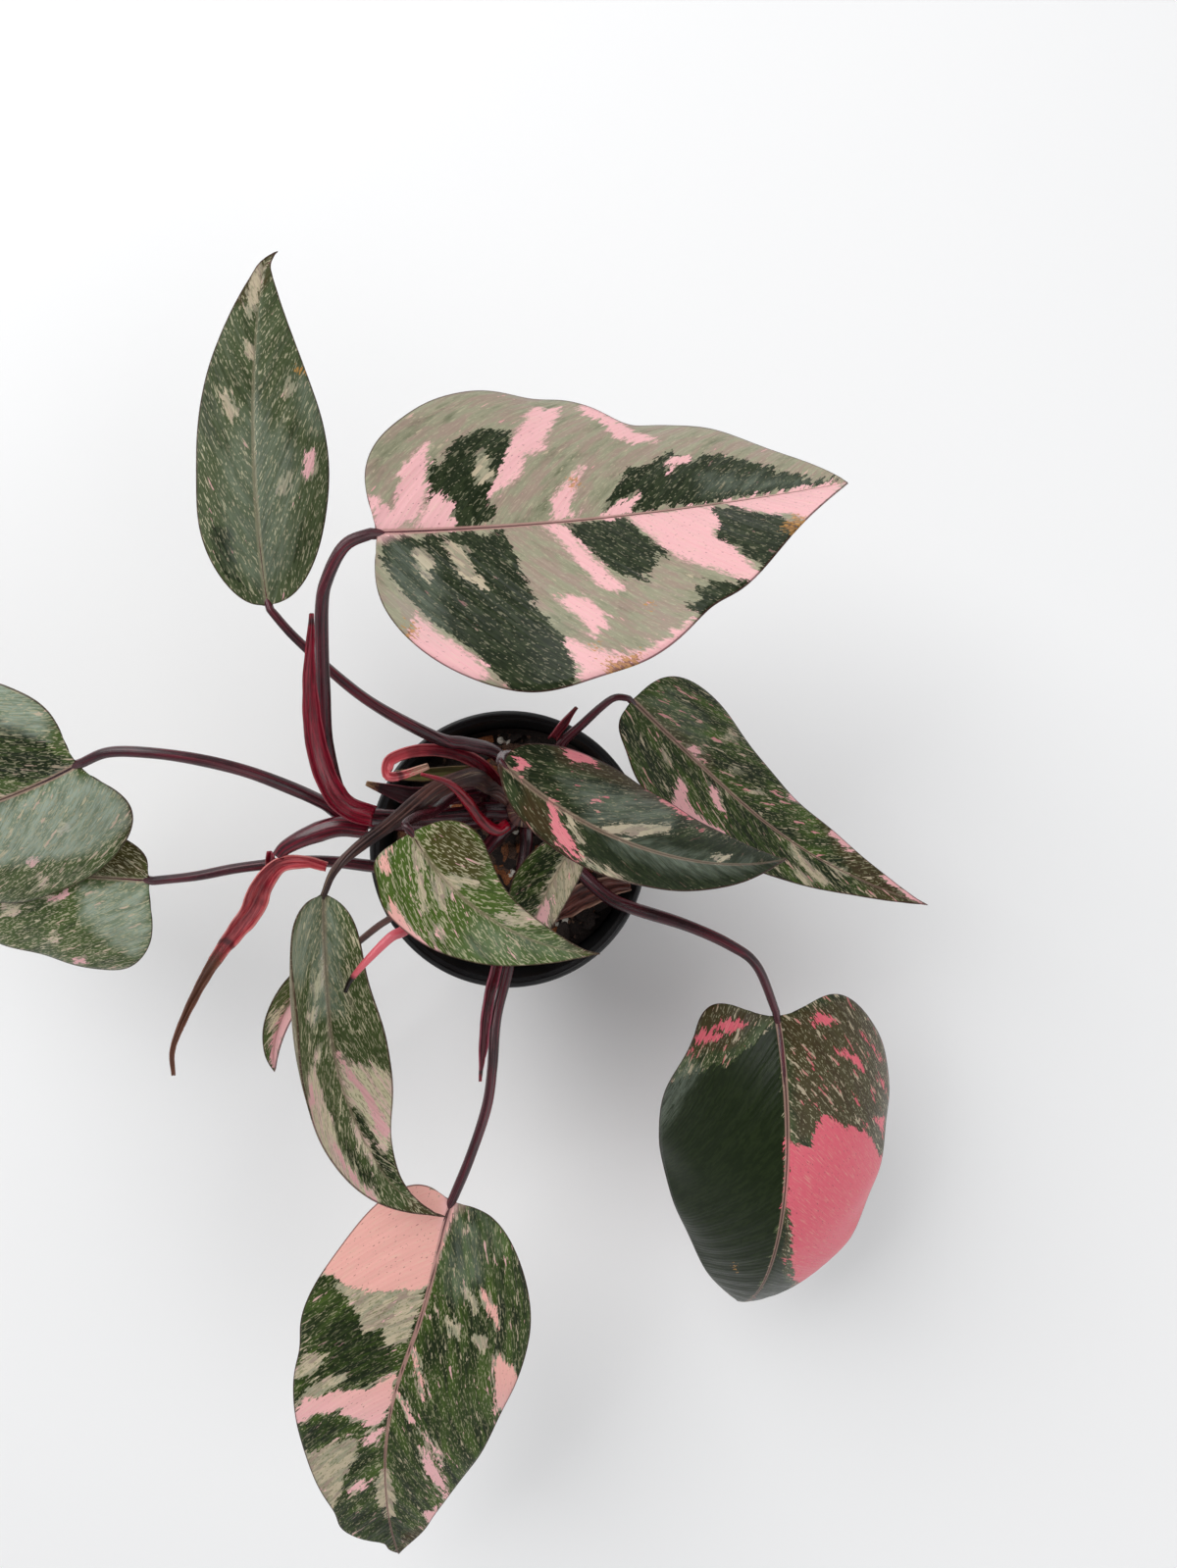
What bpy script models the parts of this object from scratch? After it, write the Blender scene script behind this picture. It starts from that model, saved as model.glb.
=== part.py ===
"""A pink variegated philodendron in a plastic nursery pot.

Twelve leaves on long stalks spread from one short stem, which stands in the
soil. Sizes are in millimetres here and are turned into metres when a mesh is
made. The pot stands on the XY plane with its centre on the Z axis.
"""

import math

import bmesh
import bpy
import numpy as np

MM = 0.001
GAP = 0.3  # left between pieces that touch
SEED = 21

POT_HEIGHT = 95.0
LIP_RADIUS = 52.5
LIP_WIDTH = 2.0
LIP_DEPTH = 9.0
TOP_RADIUS = 50.8
BASE_RADIUS = 38.0
WALL = 1.2
DRAIN_RADIUS = 4.0
DRAIN_COUNT = 6
DRAIN_CIRCLE = 27.0

SOIL_TOP = 79.0
SOIL_RELIEF = 1.6
CHIP_COUNT = 24
GRAIN_COUNT = 14

STEM_CENTRE = (7.0, 15.0)
STEM_RADIUS = 6.5
STEM_FOOT = 60.0
STEM_TOP = 121.0

BLADE_THICKNESS = 0.8
BLADE_ROWS = 16
BLADE_COLUMNS = 8
SHEATH_THICKNESS = 0.8

GREEN = (0.10, 0.16, 0.08)
PALE_GREEN = (0.26, 0.30, 0.17)
PINK = (0.72, 0.33, 0.33)
MAROON = (0.10, 0.03, 0.04)
CRIMSON = (0.25, 0.02, 0.05)
DRY = (0.22, 0.12, 0.08)
BLACK = (0.012, 0.012, 0.014)
BARK = (0.045, 0.03, 0.022)

# A blade starts at base, where its stalk meets it, and runs along heading, a
# compass angle from +X. It rises by pitch and bends, droops, rolls and twists
# on its way to the tip. left and right are its half widths, widest is how far
# along they are reached, taper how sharp the tip is, lobe how far the base
# reaches back, and fold and curl how much the halves rise from the midrib.
LEAVES = {
    "leaf_01": dict(
        base=(-76, 84, 150), heading=97, bend=-11, pitch=6, droop=-22, roll=9, twist=6,
        length=125, left=20, right=24, widest=0.34, taper=1.26, lobe=3,
        fold=5, curl=-9, waves=(0.03, -0.04),
    ),
    "leaf_02": dict(
        base=(-33, 100, 188), heading=5, bend=4, pitch=-16, droop=23, roll=-10, twist=-44,
        length=146, left=54, right=58, widest=0.41, taper=0.86, lobe=11,
        fold=13, curl=-15, waves=(0.03, 0.02),
    ),
    "leaf_03": dict(
        base=(46, 54, 128), heading=-50, bend=33, pitch=-17, droop=2, roll=-22, twist=-7,
        length=145, left=26, right=21, widest=0.22, taper=1.14, lobe=0,
        fold=2, curl=-8, waves=(0.09, -0.05),
    ),
    "leaf_04": dict(
        base=(4, 31, 177), heading=-43, bend=51, pitch=-5, droop=-38, roll=-21, twist=-13,
        length=116, left=25, right=13, widest=0.38, taper=1.15, lobe=7,
        fold=-2, curl=-8, waves=(0.02, 0.02),
    ),
    "leaf_05": dict(
        base=(100, -61, 106), heading=-84, bend=-21, pitch=25, droop=-96, roll=-1, twist=-3,
        length=159, left=65, right=54, widest=0.35, taper=0.99, lobe=24,
        fold=-16, curl=-23, waves=(0.04, -0.02),
    ),
    "leaf_06": dict(
        base=(-19, -126, 115), heading=-115, bend=32, pitch=7, droop=-39, roll=-1, twist=-7,
        length=160, left=46, right=38, widest=0.38, taper=1.03, lobe=10,
        fold=3, curl=-9, waves=(0.03, 0.02),
    ),
    "leaf_07": dict(
        base=(-57, -12, 151), heading=-98, bend=45, pitch=-4, droop=-19, roll=-37, twist=10,
        length=135, left=19, right=33, widest=0.28, taper=1.51, lobe=0,
        fold=20, curl=27, waves=(-0.17, 0.05),
    ),
    "leaf_08": dict(
        base=(-26, 9, 165), heading=-62, bend=56, pitch=-4, droop=-24, roll=-1, twist=0,
        length=80, left=16, right=22, widest=0.17, taper=1.32, lobe=0,
        fold=6, curl=-8, waves=(0.11, -0.03),
    ),
    "leaf_09": dict(
        base=(29, 9, 140), heading=-126, bend=22, pitch=-6, droop=-27, roll=-3, twist=-1,
        length=55, left=8, right=12, widest=0.43, taper=0.88, lobe=2,
        fold=7, curl=-6, waves=(0.04, -0.06),
    ),
    "leaf_10": dict(
        base=(-58, -36, 95), heading=207, bend=60, pitch=-1, droop=-34, roll=0, twist=0,
        length=72, left=6, right=8, widest=0.4, taper=0.88, lobe=0,
        fold=35, curl=10, waves=(0, 0),
    ),
    "leaf_11": dict(
        base=(-138, 31, 152), heading=205, bend=-31, pitch=-15, droop=-11, roll=-28, twist=-1,
        length=136, left=43, right=46, widest=0.36, taper=0.96, lobe=15,
        fold=3, curl=-13, waves=(-0.02, 0.03),
    ),
    "leaf_12": dict(
        base=(-127, -10, 119), heading=177, bend=2, pitch=-9, droop=-18, roll=-12, twist=-3,
        length=119, left=41, right=20, widest=0.35, taper=0.84, lobe=5,
        fold=4, curl=-14, waves=(0.07, -0.01),
    ),
}

# A stalk runs from its blade through these points to the stem, which it meets
# at the angle and height of its seat. radii are at the blade, halfway and at
# the stem.
STALKS = {
    "petiole_01": dict(
        route=[(-66, 72, 147), (-46, 54, 139), (-23, 41, 131), (-14, 39, 126),
               (-5, 37, 118), (0, 33, 111)],
        seat=(110, 103), radii=(1.4, 2.2, 2.9),
    ),
    "petiole_02": dict(
        route=[(-42, 96, 189), (-48, 87, 186), (-51, 78, 181), (-54, 56, 166),
               (-56, 37, 152), (-53, 20, 144), (-45, 14, 139), (-25, 13, 123), (-12, 14, 112)],
        seat=(180, 105), start=1.1, radii=(1.8, 2.6, 3.2),
    ),
    "petiole_03": dict(
        route=[(40, 55, 128), (35, 52, 125), (28, 46, 118), (21, 40, 110), (16, 32, 103)],
        seat=(58, 99), start=1.1, radii=(1.2, 1.8, 2.4),
    ),
    "petiole_04": dict(
        route=[(1, 34, 174), (1, 36, 160), (6, 34, 137)],
        seat=(80, 115), start=1.1, radii=(1.3, 1.8, 2.3),
    ),
    "petiole_05": dict(
        route=[(92, -42, 110), (82, -34, 111), (66, -27, 108), (46, -21, 104),
               (37, -17, 101), (26, -7, 96)],
        seat=(-45, 92), start=1.1, radii=(1.5, 2.4, 2.7),
    ),
    "petiole_06": dict(
        route=[(-12, -109, 119), (-6, -91, 120), (-4, -77, 119), (-3, -60, 115),
               (1, -42, 108), (3, -23, 101)],
        seat=(-92, 93), radii=(1.8, 2.0, 2.5),
    ),
    "petiole_07": dict(
        route=[(-54, -5, 152), (-50, 0, 152), (-43, 6, 149), (-35, 12, 145),
               (-23, 22, 136), (-11, 27, 125)],
        seat=(145, 115), radii=(1.5, 3.4, 3.2),
    ),
    "petiole_08": dict(
        route=[(-28, 12, 163), (-26, 14, 150), (-23, 15, 137), (-18, 20, 121), (-9, 22, 108)],
        seat=(165, 98), start=1.1, radii=(1.5, 2.0, 2.2),
    ),
    "petiole_09": dict(
        route=[(31, 13, 137), (28, 15, 126), (23, 16, 115)],
        seat=(5, 108), radii=(1.0, 1.4, 1.8),
    ),
    "petiole_10": dict(
        route=[(-49, -29, 98), (-43, -25, 101), (-32, -17, 102), (-18, -9, 97), (-5, 2, 89)],
        seat=(228, 85), radii=(1.3, 1.5, 1.8),
    ),
    "petiole_11": dict(
        route=[(-127, 35, 155), (-114, 35, 156), (-99, 33, 153), (-84, 29, 147),
               (-70, 23, 140), (-61, 18, 133), (-52, 12, 126), (-30, 10, 114), (-10, 11, 98)],
        seat=(190, 90), radii=(1.7, 2.4, 2.9),
    ),
    "petiole_12": dict(
        route=[(-109, -8, 123), (-93, -5, 124), (-74, -3, 122), (-61, -3, 120),
               (-45, -5, 117), (-30, -6, 113), (-13, -4, 106)],
        seat=(222, 98), radii=(1.6, 2.2, 2.6),
    ),
}

# A sheath is a strip that is rolled into a channel. Its route goes from its
# root to its tip, widths are half widths at equal steps along it, arch is how
# far it is rolled, and open_to is the side its hollow faces.
SHEATHS = {
    "tall_sheath": dict(
        route=[(-42, 13, 146), (-50, 16, 150), (-55, 23, 155), (-58, 37, 163),
               (-57, 55, 174), (-53, 76, 186)],
        widths=(5, 5.5, 5, 4, 2.4, 0.8), arch=75, open_to=(0.5, 0.3, 0.8), colour=CRIMSON,
    ),
    "front_sheath": dict(
        route=[(-2, -30, 108), (-4, -42, 112), (-6, -51, 115), (-8, -62, 118), (-9, -81, 122)],
        widths=(3.2, 3.2, 2.8, 2.4, 1.6), arch=80, open_to=(0.6, 0, 0.8), colour=CRIMSON,
    ),
    "curled_sheath": dict(
        route=[(1.7, 20.2, 93), (-4, 26, 101), (-9, 32, 110), (-17, 36, 118), (-25, 37, 126), (-32, 36, 132),
               (-38, 33, 135), (-38, 28, 137), (-33, 28, 139), (-24, 31, 140)],
        widths=(2.5, 2.8, 2.8, 2.6, 2.2, 1.2), arch=60, open_to=(0.2, -0.3, 0.9), colour=CRIMSON,
    ),
    "flap_sheath": dict(
        route=[(-6, 20, 92), (-17, 21, 101), (-31, 20, 113), (-39, 22, 120), (-48, 25, 125)],
        widths=(3, 4, 4.5, 3.5, 0.8), arch=50, open_to=(0, 0, 1), colour=MAROON,
    ),
    "green_stub": dict(
        route=[(-10, 30, 107), (-20, 29, 111), (-29, 28, 114), (-39, 28, 117)],
        widths=(1.8, 2.5, 3, 2), arch=70, open_to=(0, 0, 1), colour=PALE_GREEN,
    ),
    "withered_sheath": dict(
        route=[(-61, -4, 129), (-68, -2, 131), (-77, -3, 131), (-84, -10, 128), (-89, -19, 123),
               (-96, -27, 117), (-106, -39, 110), (-115, -52, 103), (-123, -66, 97),
               (-128, -77, 92), (-129, -87, 88)],
        widths=(2.2, 3, 5, 4, 2.6, 2.4, 2, 1.4, 0.8), arch=85, open_to=(0.3, -0.2, 0.9),
        colour=PINK,
    ),
    "paper_sheath": dict(
        route=[(46, -13, 96), (39, -14, 93), (29, -18, 88), (22, -23, 83), (15, -29, 80)],
        widths=(2.5, 4.5, 5, 4, 1), arch=35, open_to=(0, 0, 1), colour=DRY,
    ),
    "east_sheath": dict(
        route=[(17, 42, 110), (22, 48, 117), (26, 52, 122)],
        widths=(2.4, 2.2, 0.8), arch=80, open_to=(0.3, -0.6, 0.7), colour=CRIMSON,
    ),
}

# Solid shoots that are round from end to end, with radii as a stalk's.
SHOOTS = {
    "red_spike": dict(
        route=[(1, 10, 112), (-3, 8, 114), (-8, 12, 120), (-12, 19, 131), (-17, 25, 142), (-25, 28, 150)],
        radii=(1.9, 1.7, 0.6), colour=CRIMSON,
    ),
    "red_tongue": dict(
        route=[(-15, -6, 111.6), (-23, -17, 138), (-31, -24, 148), (-35, -26, 151),
               (-43, -34, 152), (-48, -40, 152), (-50, -44, 151)],
        radii=(2.2, 1.9, 0.6), colour=CRIMSON,
    ),
    "side_branch": dict(
        route=[(-46, 9, 132), (-56, 10, 134), (-66, 7, 134), (-74, 3, 133)],
        radii=(3.2, 3.2, 2.8), colour=MAROON,
    ),
}


def clear_scene():
    for old in list(bpy.data.objects):
        bpy.data.objects.remove(old)


def make_collection(name):
    group = bpy.data.collections.new(name)
    bpy.context.scene.collection.children.link(group)
    return group


def make_material(name, colour, roughness):
    material = bpy.data.materials.new(name)
    material.use_nodes = True
    shader = material.node_tree.nodes["Principled BSDF"]
    shader.inputs["Base Color"].default_value = (*colour, 1)
    shader.inputs["Roughness"].default_value = roughness
    shader.inputs["Metallic"].default_value = 0
    return material


def add_object(name, data, group, colour, roughness=0.45):
    obj = bpy.data.objects.new(name, data)
    group.objects.link(obj)
    data.materials.append(make_material(name, colour, roughness))
    return obj


def mesh_of(name, points, faces):
    mesh = bpy.data.meshes.new(name)
    mesh.from_pydata([tuple(p) for p in np.asarray(points) * MM], [], faces)
    mesh.validate()
    return mesh


def add_cutter(name, radius, low, high, centre, group):
    bpy.ops.mesh.primitive_cylinder_add(
        vertices=20, radius=radius * MM, depth=(high - low) * MM,
        location=(centre[0] * MM, centre[1] * MM, (low + high) / 2 * MM),
    )
    cutter = bpy.context.object
    cutter.name = name
    for other in list(cutter.users_collection):
        other.objects.unlink(cutter)
    group.objects.link(cutter)
    cutter.hide_render = True
    cutter.display_type = "WIRE"
    return cutter


def add_boolean(target, other, operation, solver="EXACT"):
    change = target.modifiers.new(operation.title(), "BOOLEAN")
    change.operation = operation
    change.solver = solver
    change.object = other


def smooth_route(points, step):
    """Points along a smooth curve through the given ones, about step apart."""
    ends = [2 * points[0] - points[1]], [2 * points[-1] - points[-2]]
    padded = np.concatenate([ends[0], points, ends[1]])
    fine = []
    for before, start, stop, after in zip(padded, padded[1:], padded[2:], padded[3:]):
        for t in np.linspace(0, 1, 12, endpoint=False):
            fine.append(0.5 * (
                2 * start + (stop - before) * t
                + (2 * before - 5 * start + 4 * stop - after) * t ** 2
                + (3 * start - before - 3 * stop + after) * t ** 3
            ))
    fine = np.array(fine + [points[-1]])
    lengths = np.linalg.norm(np.diff(fine, axis=0), axis=1)
    along = np.concatenate([[0], np.cumsum(lengths)])
    count = max(4, round(along[-1] / step) + 1)
    wanted = np.linspace(0, along[-1], count)
    return np.stack([np.interp(wanted, along, fine[:, k]) for k in range(3)], axis=1)


def turn(angle):
    return np.cos(np.radians(angle)), np.sin(np.radians(angle))


def blade_frame(leaf, along):
    """The direction of the midrib, and the blade's side and face directions."""
    t = np.clip(along / leaf["length"], 0, 1)
    ahead_x, ahead_y = turn(leaf["heading"] + leaf["bend"] * t)
    level, rise = turn(leaf["pitch"] + leaf["droop"] * t)
    ahead = np.stack([level * ahead_x, level * ahead_y, rise], axis=-1)
    across = np.stack([-ahead_y, ahead_x, 0 * ahead_x], axis=-1)
    up = np.cross(ahead, across)
    c, s = turn(leaf["roll"] + leaf["twist"] * t)
    side = across * c[..., None] + up * s[..., None]
    face = up * c[..., None] - across * s[..., None]
    return ahead, side, face


def blade_points(leaf, v, u):
    """Points of a blade at v, from its base to its tip, and u, from its right
    edge at -1 over the midrib at 0 to its left edge at 1."""
    length, widest, taper = leaf["length"], leaf["widest"], leaf["taper"]
    swell = taper * widest / (1 - widest)
    width = (v / widest) ** swell * ((1 - v) / (1 - widest)) ** taper
    half = np.where(u > 0, leaf["left"], leaf["right"])
    wave = np.where(u > 0, leaf["waves"][0], leaf["waves"][1])
    out = u * half * width * (1 + wave * np.sin(3 * np.pi * v))
    back = leaf["lobe"] * (1 - v) ** 3 * (1 - np.exp(-v / 0.03)) * np.abs(u) ** 1.3
    along = length * v - back

    steps = np.linspace(0, length, 60)
    ahead = blade_frame(leaf, steps)[0]
    moves = (ahead[1:] + ahead[:-1]) / 2 * (steps[1] - steps[0])
    rib = np.concatenate([[[0, 0, 0]], np.cumsum(moves, axis=0)])
    on_rib = np.clip(along, 0, length)
    ahead, side, face = blade_frame(leaf, along)
    centre = np.stack([np.interp(on_rib, steps, rib[:, k]) for k in range(3)], axis=-1)
    centre = centre + ahead * (along - on_rib)[..., None] + np.array(leaf["base"])

    distance = np.abs(out) / ((leaf["left"] + leaf["right"]) / 2)
    c, s = turn(leaf["fold"] + leaf["curl"] * distance)
    return centre + side * (out * c)[..., None] + face * (np.abs(out) * s)[..., None]


def grid_faces(rows, columns):
    """Triangles of a grid of points, the same way round on every row."""
    faces = []
    for i in range(rows):
        for j in range(columns):
            a = i * (columns + 1) + j
            b, c, d = a + 1, a + columns + 2, a + columns + 1
            faces += [(a, b, c), (a, c, d)]
    return faces


def thicken(obj, thickness):
    shell = obj.modifiers.new("Thickness", "SOLIDIFY")
    shell.thickness = thickness * MM
    shell.offset = 0


def weld(mesh):
    soft = bmesh.new()
    soft.from_mesh(mesh)
    bmesh.ops.remove_doubles(soft, verts=soft.verts, dist=1e-7)
    bmesh.ops.dissolve_degenerate(soft, edges=soft.edges, dist=1e-7)
    soft.to_mesh(mesh)
    soft.free()


def add_blade(name, leaf, group):
    v = np.linspace(0, 1, BLADE_ROWS + 1)[:, None] ** 1.6
    u = np.linspace(-1, 1, BLADE_COLUMNS + 1)[None, :]
    v, u = np.broadcast_arrays(v, u)
    points = blade_points(leaf, v, u).reshape(-1, 3)
    mesh = mesh_of(name, points, grid_faces(BLADE_ROWS, BLADE_COLUMNS))
    weld(mesh)
    thicken(add_object(name, mesh, group, GREEN), BLADE_THICKNESS)


def add_tube(name, route, radii, colour, group):
    """A round solid along a route, its radius given at start, middle and end."""
    points = smooth_route(np.array(route, float), 2 * max(radii) + 3)
    curve = bpy.data.curves.new(name, "CURVE")
    curve.dimensions = "3D"
    curve.bevel_depth = MM
    curve.bevel_resolution = 2
    curve.use_fill_caps = True
    line = curve.splines.new("POLY")
    line.points.add(len(points) - 1)
    share = np.linspace(0, 1, len(points))
    for dot, place, radius in zip(line.points, points, np.interp(share, [0, 0.5, 1], radii)):
        dot.co = (*(place * MM), 1)
        dot.radius = radius
    add_object(name, curve, group, colour)


def add_stalk(name, stalk, leaf, group):
    """The stalk starts just behind its blade and ends square on the stem."""
    ahead = blade_frame(leaf, np.array([0.0]))[0][0]
    start = np.array(leaf["base"]) - ahead * (GAP + stalk.get("start", 0.8))
    angle, height = stalk["seat"]
    c, s = turn(angle)
    out = np.array([c, s, 0.0])
    axis = np.array([*STEM_CENTRE, height])
    end = axis + out * (STEM_RADIUS + GAP + 0.1)
    approach = axis + out * (STEM_RADIUS + 9)
    route = [start, *stalk["route"], approach, end]
    add_tube(name, route, stalk["radii"], MAROON, group)


def add_sheath(name, sheath, group):
    points = smooth_route(np.array(sheath["route"], float), 5)
    ahead = np.gradient(points, axis=0)
    ahead /= np.linalg.norm(ahead, axis=1)[:, None]
    face = np.array(sheath["open_to"]) - ahead * (ahead @ np.array(sheath["open_to"]))[:, None]
    face /= np.linalg.norm(face, axis=1)[:, None]
    side = np.cross(face, ahead)
    share = np.linspace(0, 1, len(points))
    known = np.linspace(0, 1, len(sheath["widths"]))
    half = np.interp(share, known, sheath["widths"])[:, None, None]
    turned = np.radians(sheath["arch"])
    bend = np.linspace(-turned, turned, 7)[None, :, None]
    radius = half / turned
    rim = points[:, None] + side[:, None] * radius * np.sin(bend)
    rim = rim + face[:, None] * radius * (1 - np.cos(bend))
    mesh = mesh_of(name, rim.reshape(-1, 3), grid_faces(len(points) - 1, 6))
    thicken(add_object(name, mesh, group, sheath["colour"]), SHEATH_THICKNESS)


def add_turned(name, profile, colour, group, roughness, steps=48):
    """A profile of (radius, height) turned round the Z axis, from its top
    down the outside."""
    points = [(r, 0, z) for r, z in profile]
    edges = [(i, i + 1) for i in range(len(points) - 1)]
    mesh = bpy.data.meshes.new(name)
    mesh.from_pydata([tuple(p) for p in np.array(points) * MM], edges, [])
    obj = add_object(name, mesh, group, colour, roughness)
    screw = obj.modifiers.new("Turn", "SCREW")
    screw.steps = steps
    screw.render_steps = steps
    screw.use_merge_vertices = True
    screw.merge_threshold = 1e-5
    return obj


def inner_radius(height):
    """The pot's inner wall at a height above its base."""
    return BASE_RADIUS + (TOP_RADIUS - BASE_RADIUS) * height / POT_HEIGHT - WALL


def add_pot(group, cutters):
    profile = [
        (0, WALL),
        (inner_radius(WALL), WALL),
        (inner_radius(POT_HEIGHT - 1), POT_HEIGHT - 1),
        (LIP_RADIUS - LIP_WIDTH, POT_HEIGHT),
        (LIP_RADIUS - 0.6, POT_HEIGHT),
        (LIP_RADIUS, POT_HEIGHT - 0.8),
        (LIP_RADIUS - 0.4, POT_HEIGHT - LIP_DEPTH),
        (inner_radius(POT_HEIGHT - LIP_DEPTH) + WALL, POT_HEIGHT - LIP_DEPTH - 0.8),
        (BASE_RADIUS, 1),
        (BASE_RADIUS - 1, 0),
        (0, 0),
    ]
    pot = add_turned("pot", profile, BLACK, group, 0.4, 64)
    for i in range(DRAIN_COUNT):
        c, s = turn(360 / DRAIN_COUNT * i)
        place = (DRAIN_CIRCLE * c, DRAIN_CIRCLE * s)
        add_boolean(pot, add_cutter(f"drain_{i}", DRAIN_RADIUS, -4, 6, place, cutters), "DIFFERENCE")


def soil_height(x, y):
    bumps = np.sin(x / 4.1 + 1) * np.cos(y / 5.3) + np.sin((x - 1.4 * y) / 7.7)
    return SOIL_TOP + SOIL_RELIEF * bumps / 2


def chip_mesh(random, x, y):
    """A splinter of bark that lies on the soil, partly sunk in it."""
    size = random.uniform((6, 3, 2.4), (12, 6, 3.6))
    corners = np.array([(i, j, k) for i in (-1, 1) for j in (-1, 1) for k in (-1, 1)], float)
    corners = corners * size / 2 * random.uniform(0.8, 1.1, (8, 3))
    c, s = turn(random.uniform(0, 180))
    tilt = random.uniform(-0.25, 0.25)
    turned = np.stack([
        corners[:, 0] * c - corners[:, 1] * s,
        corners[:, 0] * s + corners[:, 1] * c,
        corners[:, 2] + corners[:, 0] * tilt,
    ], axis=1)
    faces = [(0, 1, 3, 2), (4, 6, 7, 5), (0, 4, 5, 1), (2, 3, 7, 6), (0, 2, 6, 4), (1, 5, 7, 3)]
    return turned + (x, y, soil_height(x, y) + 0.3), faces


def add_soil(group, cutters):
    rings, sectors = 10, 40
    top_radius = inner_radius(SOIL_TOP - 4) - GAP
    angles = np.arange(sectors) / sectors * 2 * np.pi
    points = [(0, 0, soil_height(0, 0))]
    for ring in range(1, rings + 1):
        x = top_radius * ring / rings * np.cos(angles)
        y = top_radius * ring / rings * np.sin(angles)
        fade = 1 - (ring / rings) ** 6
        z = SOIL_TOP - 2 + (soil_height(x, y) - SOIL_TOP + 2) * fade
        points += list(zip(x, y, z))
    foot = inner_radius(WALL + GAP) - GAP - 0.3
    points += [(foot * math.cos(a), foot * math.sin(a), WALL + GAP) for a in angles]
    points.append((0, 0, WALL + GAP))
    last = len(points) - 1
    faces = []
    for j in range(sectors):
        k = (j + 1) % sectors
        faces.append((0, 1 + j, 1 + k))
        for ring in range(rings):
            a, b = 1 + ring * sectors, 1 + (ring + 1) * sectors
            faces.append((a + j, b + j, b + k, a + k))
        rim = 1 + rings * sectors
        faces.append((rim + j, last, rim + k))
    soil = add_object("soil", mesh_of("soil", points, faces), group, BARK, 0.9)

    random = np.random.default_rng(SEED)
    for i in range(CHIP_COUNT + GRAIN_COUNT):
        reach = (top_radius - 9) * math.sqrt(random.uniform(0.08, 1))
        c, s = turn(random.uniform(0, 360))
        x, y = reach * c, reach * s
        if math.dist((x, y), STEM_CENTRE) < 15:
            continue
        if i < CHIP_COUNT:
            mesh = mesh_of(f"chip_{i}", *chip_mesh(random, x, y))
            piece = bpy.data.objects.new(f"chip_{i}", mesh)
        else:
            bpy.ops.mesh.primitive_ico_sphere_add(
                subdivisions=1, radius=random.uniform(1.5, 2.2) * MM,
                location=(x * MM, y * MM, (soil_height(x, y) + 0.5) * MM),
            )
            piece = bpy.context.object
            piece.name = f"grain_{i}"
            for other in list(piece.users_collection):
                other.objects.unlink(piece)
        cutters.objects.link(piece)
        piece.hide_render = True
        piece.display_type = "WIRE"
        add_boolean(soil, piece, "UNION", "MANIFOLD")
    hole = add_cutter("stem_hole", STEM_RADIUS + GAP, STEM_FOOT - GAP, SOIL_TOP + 20, STEM_CENTRE, cutters)
    add_boolean(soil, hole, "DIFFERENCE", "MANIFOLD")


def add_stem(group):
    """A short upright stem with a ring at each joint and a blunt top."""
    profile = [(0, STEM_TOP), (3.5, STEM_TOP - 0.8), (5.4, STEM_TOP - 3)]
    for joint in np.arange(STEM_TOP - 8, STEM_FOOT + 4, -13):
        profile += [(STEM_RADIUS - 0.5, joint + 2), (STEM_RADIUS, joint), (STEM_RADIUS - 0.5, joint - 2)]
    profile += [(STEM_RADIUS - 0.5, STEM_FOOT), (0, STEM_FOOT)]
    stem = add_turned("stem", profile, MAROON, group, 0.5, 20)
    stem.location = (STEM_CENTRE[0] * MM, STEM_CENTRE[1] * MM, 0)


def main():
    clear_scene()
    plant = make_collection("potted_philodendron")
    cutters = make_collection("cutters")
    add_pot(plant, cutters)
    add_soil(plant, cutters)
    add_stem(plant)
    for name, leaf in LEAVES.items():
        add_blade(name, leaf, plant)
        stalk = name.replace("leaf", "petiole")
        add_stalk(stalk, STALKS[stalk], leaf, plant)
    for name, sheath in SHEATHS.items():
        add_sheath(name, sheath, plant)
    for name, shoot in SHOOTS.items():
        add_tube(name, shoot["route"], shoot["radii"], shoot["colour"], plant)


main()
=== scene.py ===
import bmesh
import bpy
import numpy as np
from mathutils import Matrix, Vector


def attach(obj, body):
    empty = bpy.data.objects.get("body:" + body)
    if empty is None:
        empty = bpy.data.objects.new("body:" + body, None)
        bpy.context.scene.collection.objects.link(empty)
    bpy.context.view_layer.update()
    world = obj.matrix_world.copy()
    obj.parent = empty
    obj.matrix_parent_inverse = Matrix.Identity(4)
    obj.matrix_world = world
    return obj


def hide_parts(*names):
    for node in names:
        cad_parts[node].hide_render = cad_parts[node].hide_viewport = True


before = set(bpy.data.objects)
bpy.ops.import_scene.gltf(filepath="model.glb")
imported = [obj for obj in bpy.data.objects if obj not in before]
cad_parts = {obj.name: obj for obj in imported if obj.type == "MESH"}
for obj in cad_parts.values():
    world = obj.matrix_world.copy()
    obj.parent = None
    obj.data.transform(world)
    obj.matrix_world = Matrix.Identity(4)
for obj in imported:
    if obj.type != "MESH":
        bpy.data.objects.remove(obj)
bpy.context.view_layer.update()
mm = 0.001
scene = bpy.context.scene


def gridFaces(rows, columns, closed=False):
    # quads between neighbours of a grid; closed joins the last column to the first
    i = np.arange(rows - 1)[:, None]
    j = np.arange(columns if closed else columns - 1)[None, :]
    k = (j + 1) % columns
    quads = np.stack([i * columns + j, i * columns + k,
                      (i + 1) * columns + k, (i + 1) * columns + j], axis=-1)
    return quads.reshape(-1, 4)


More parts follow.
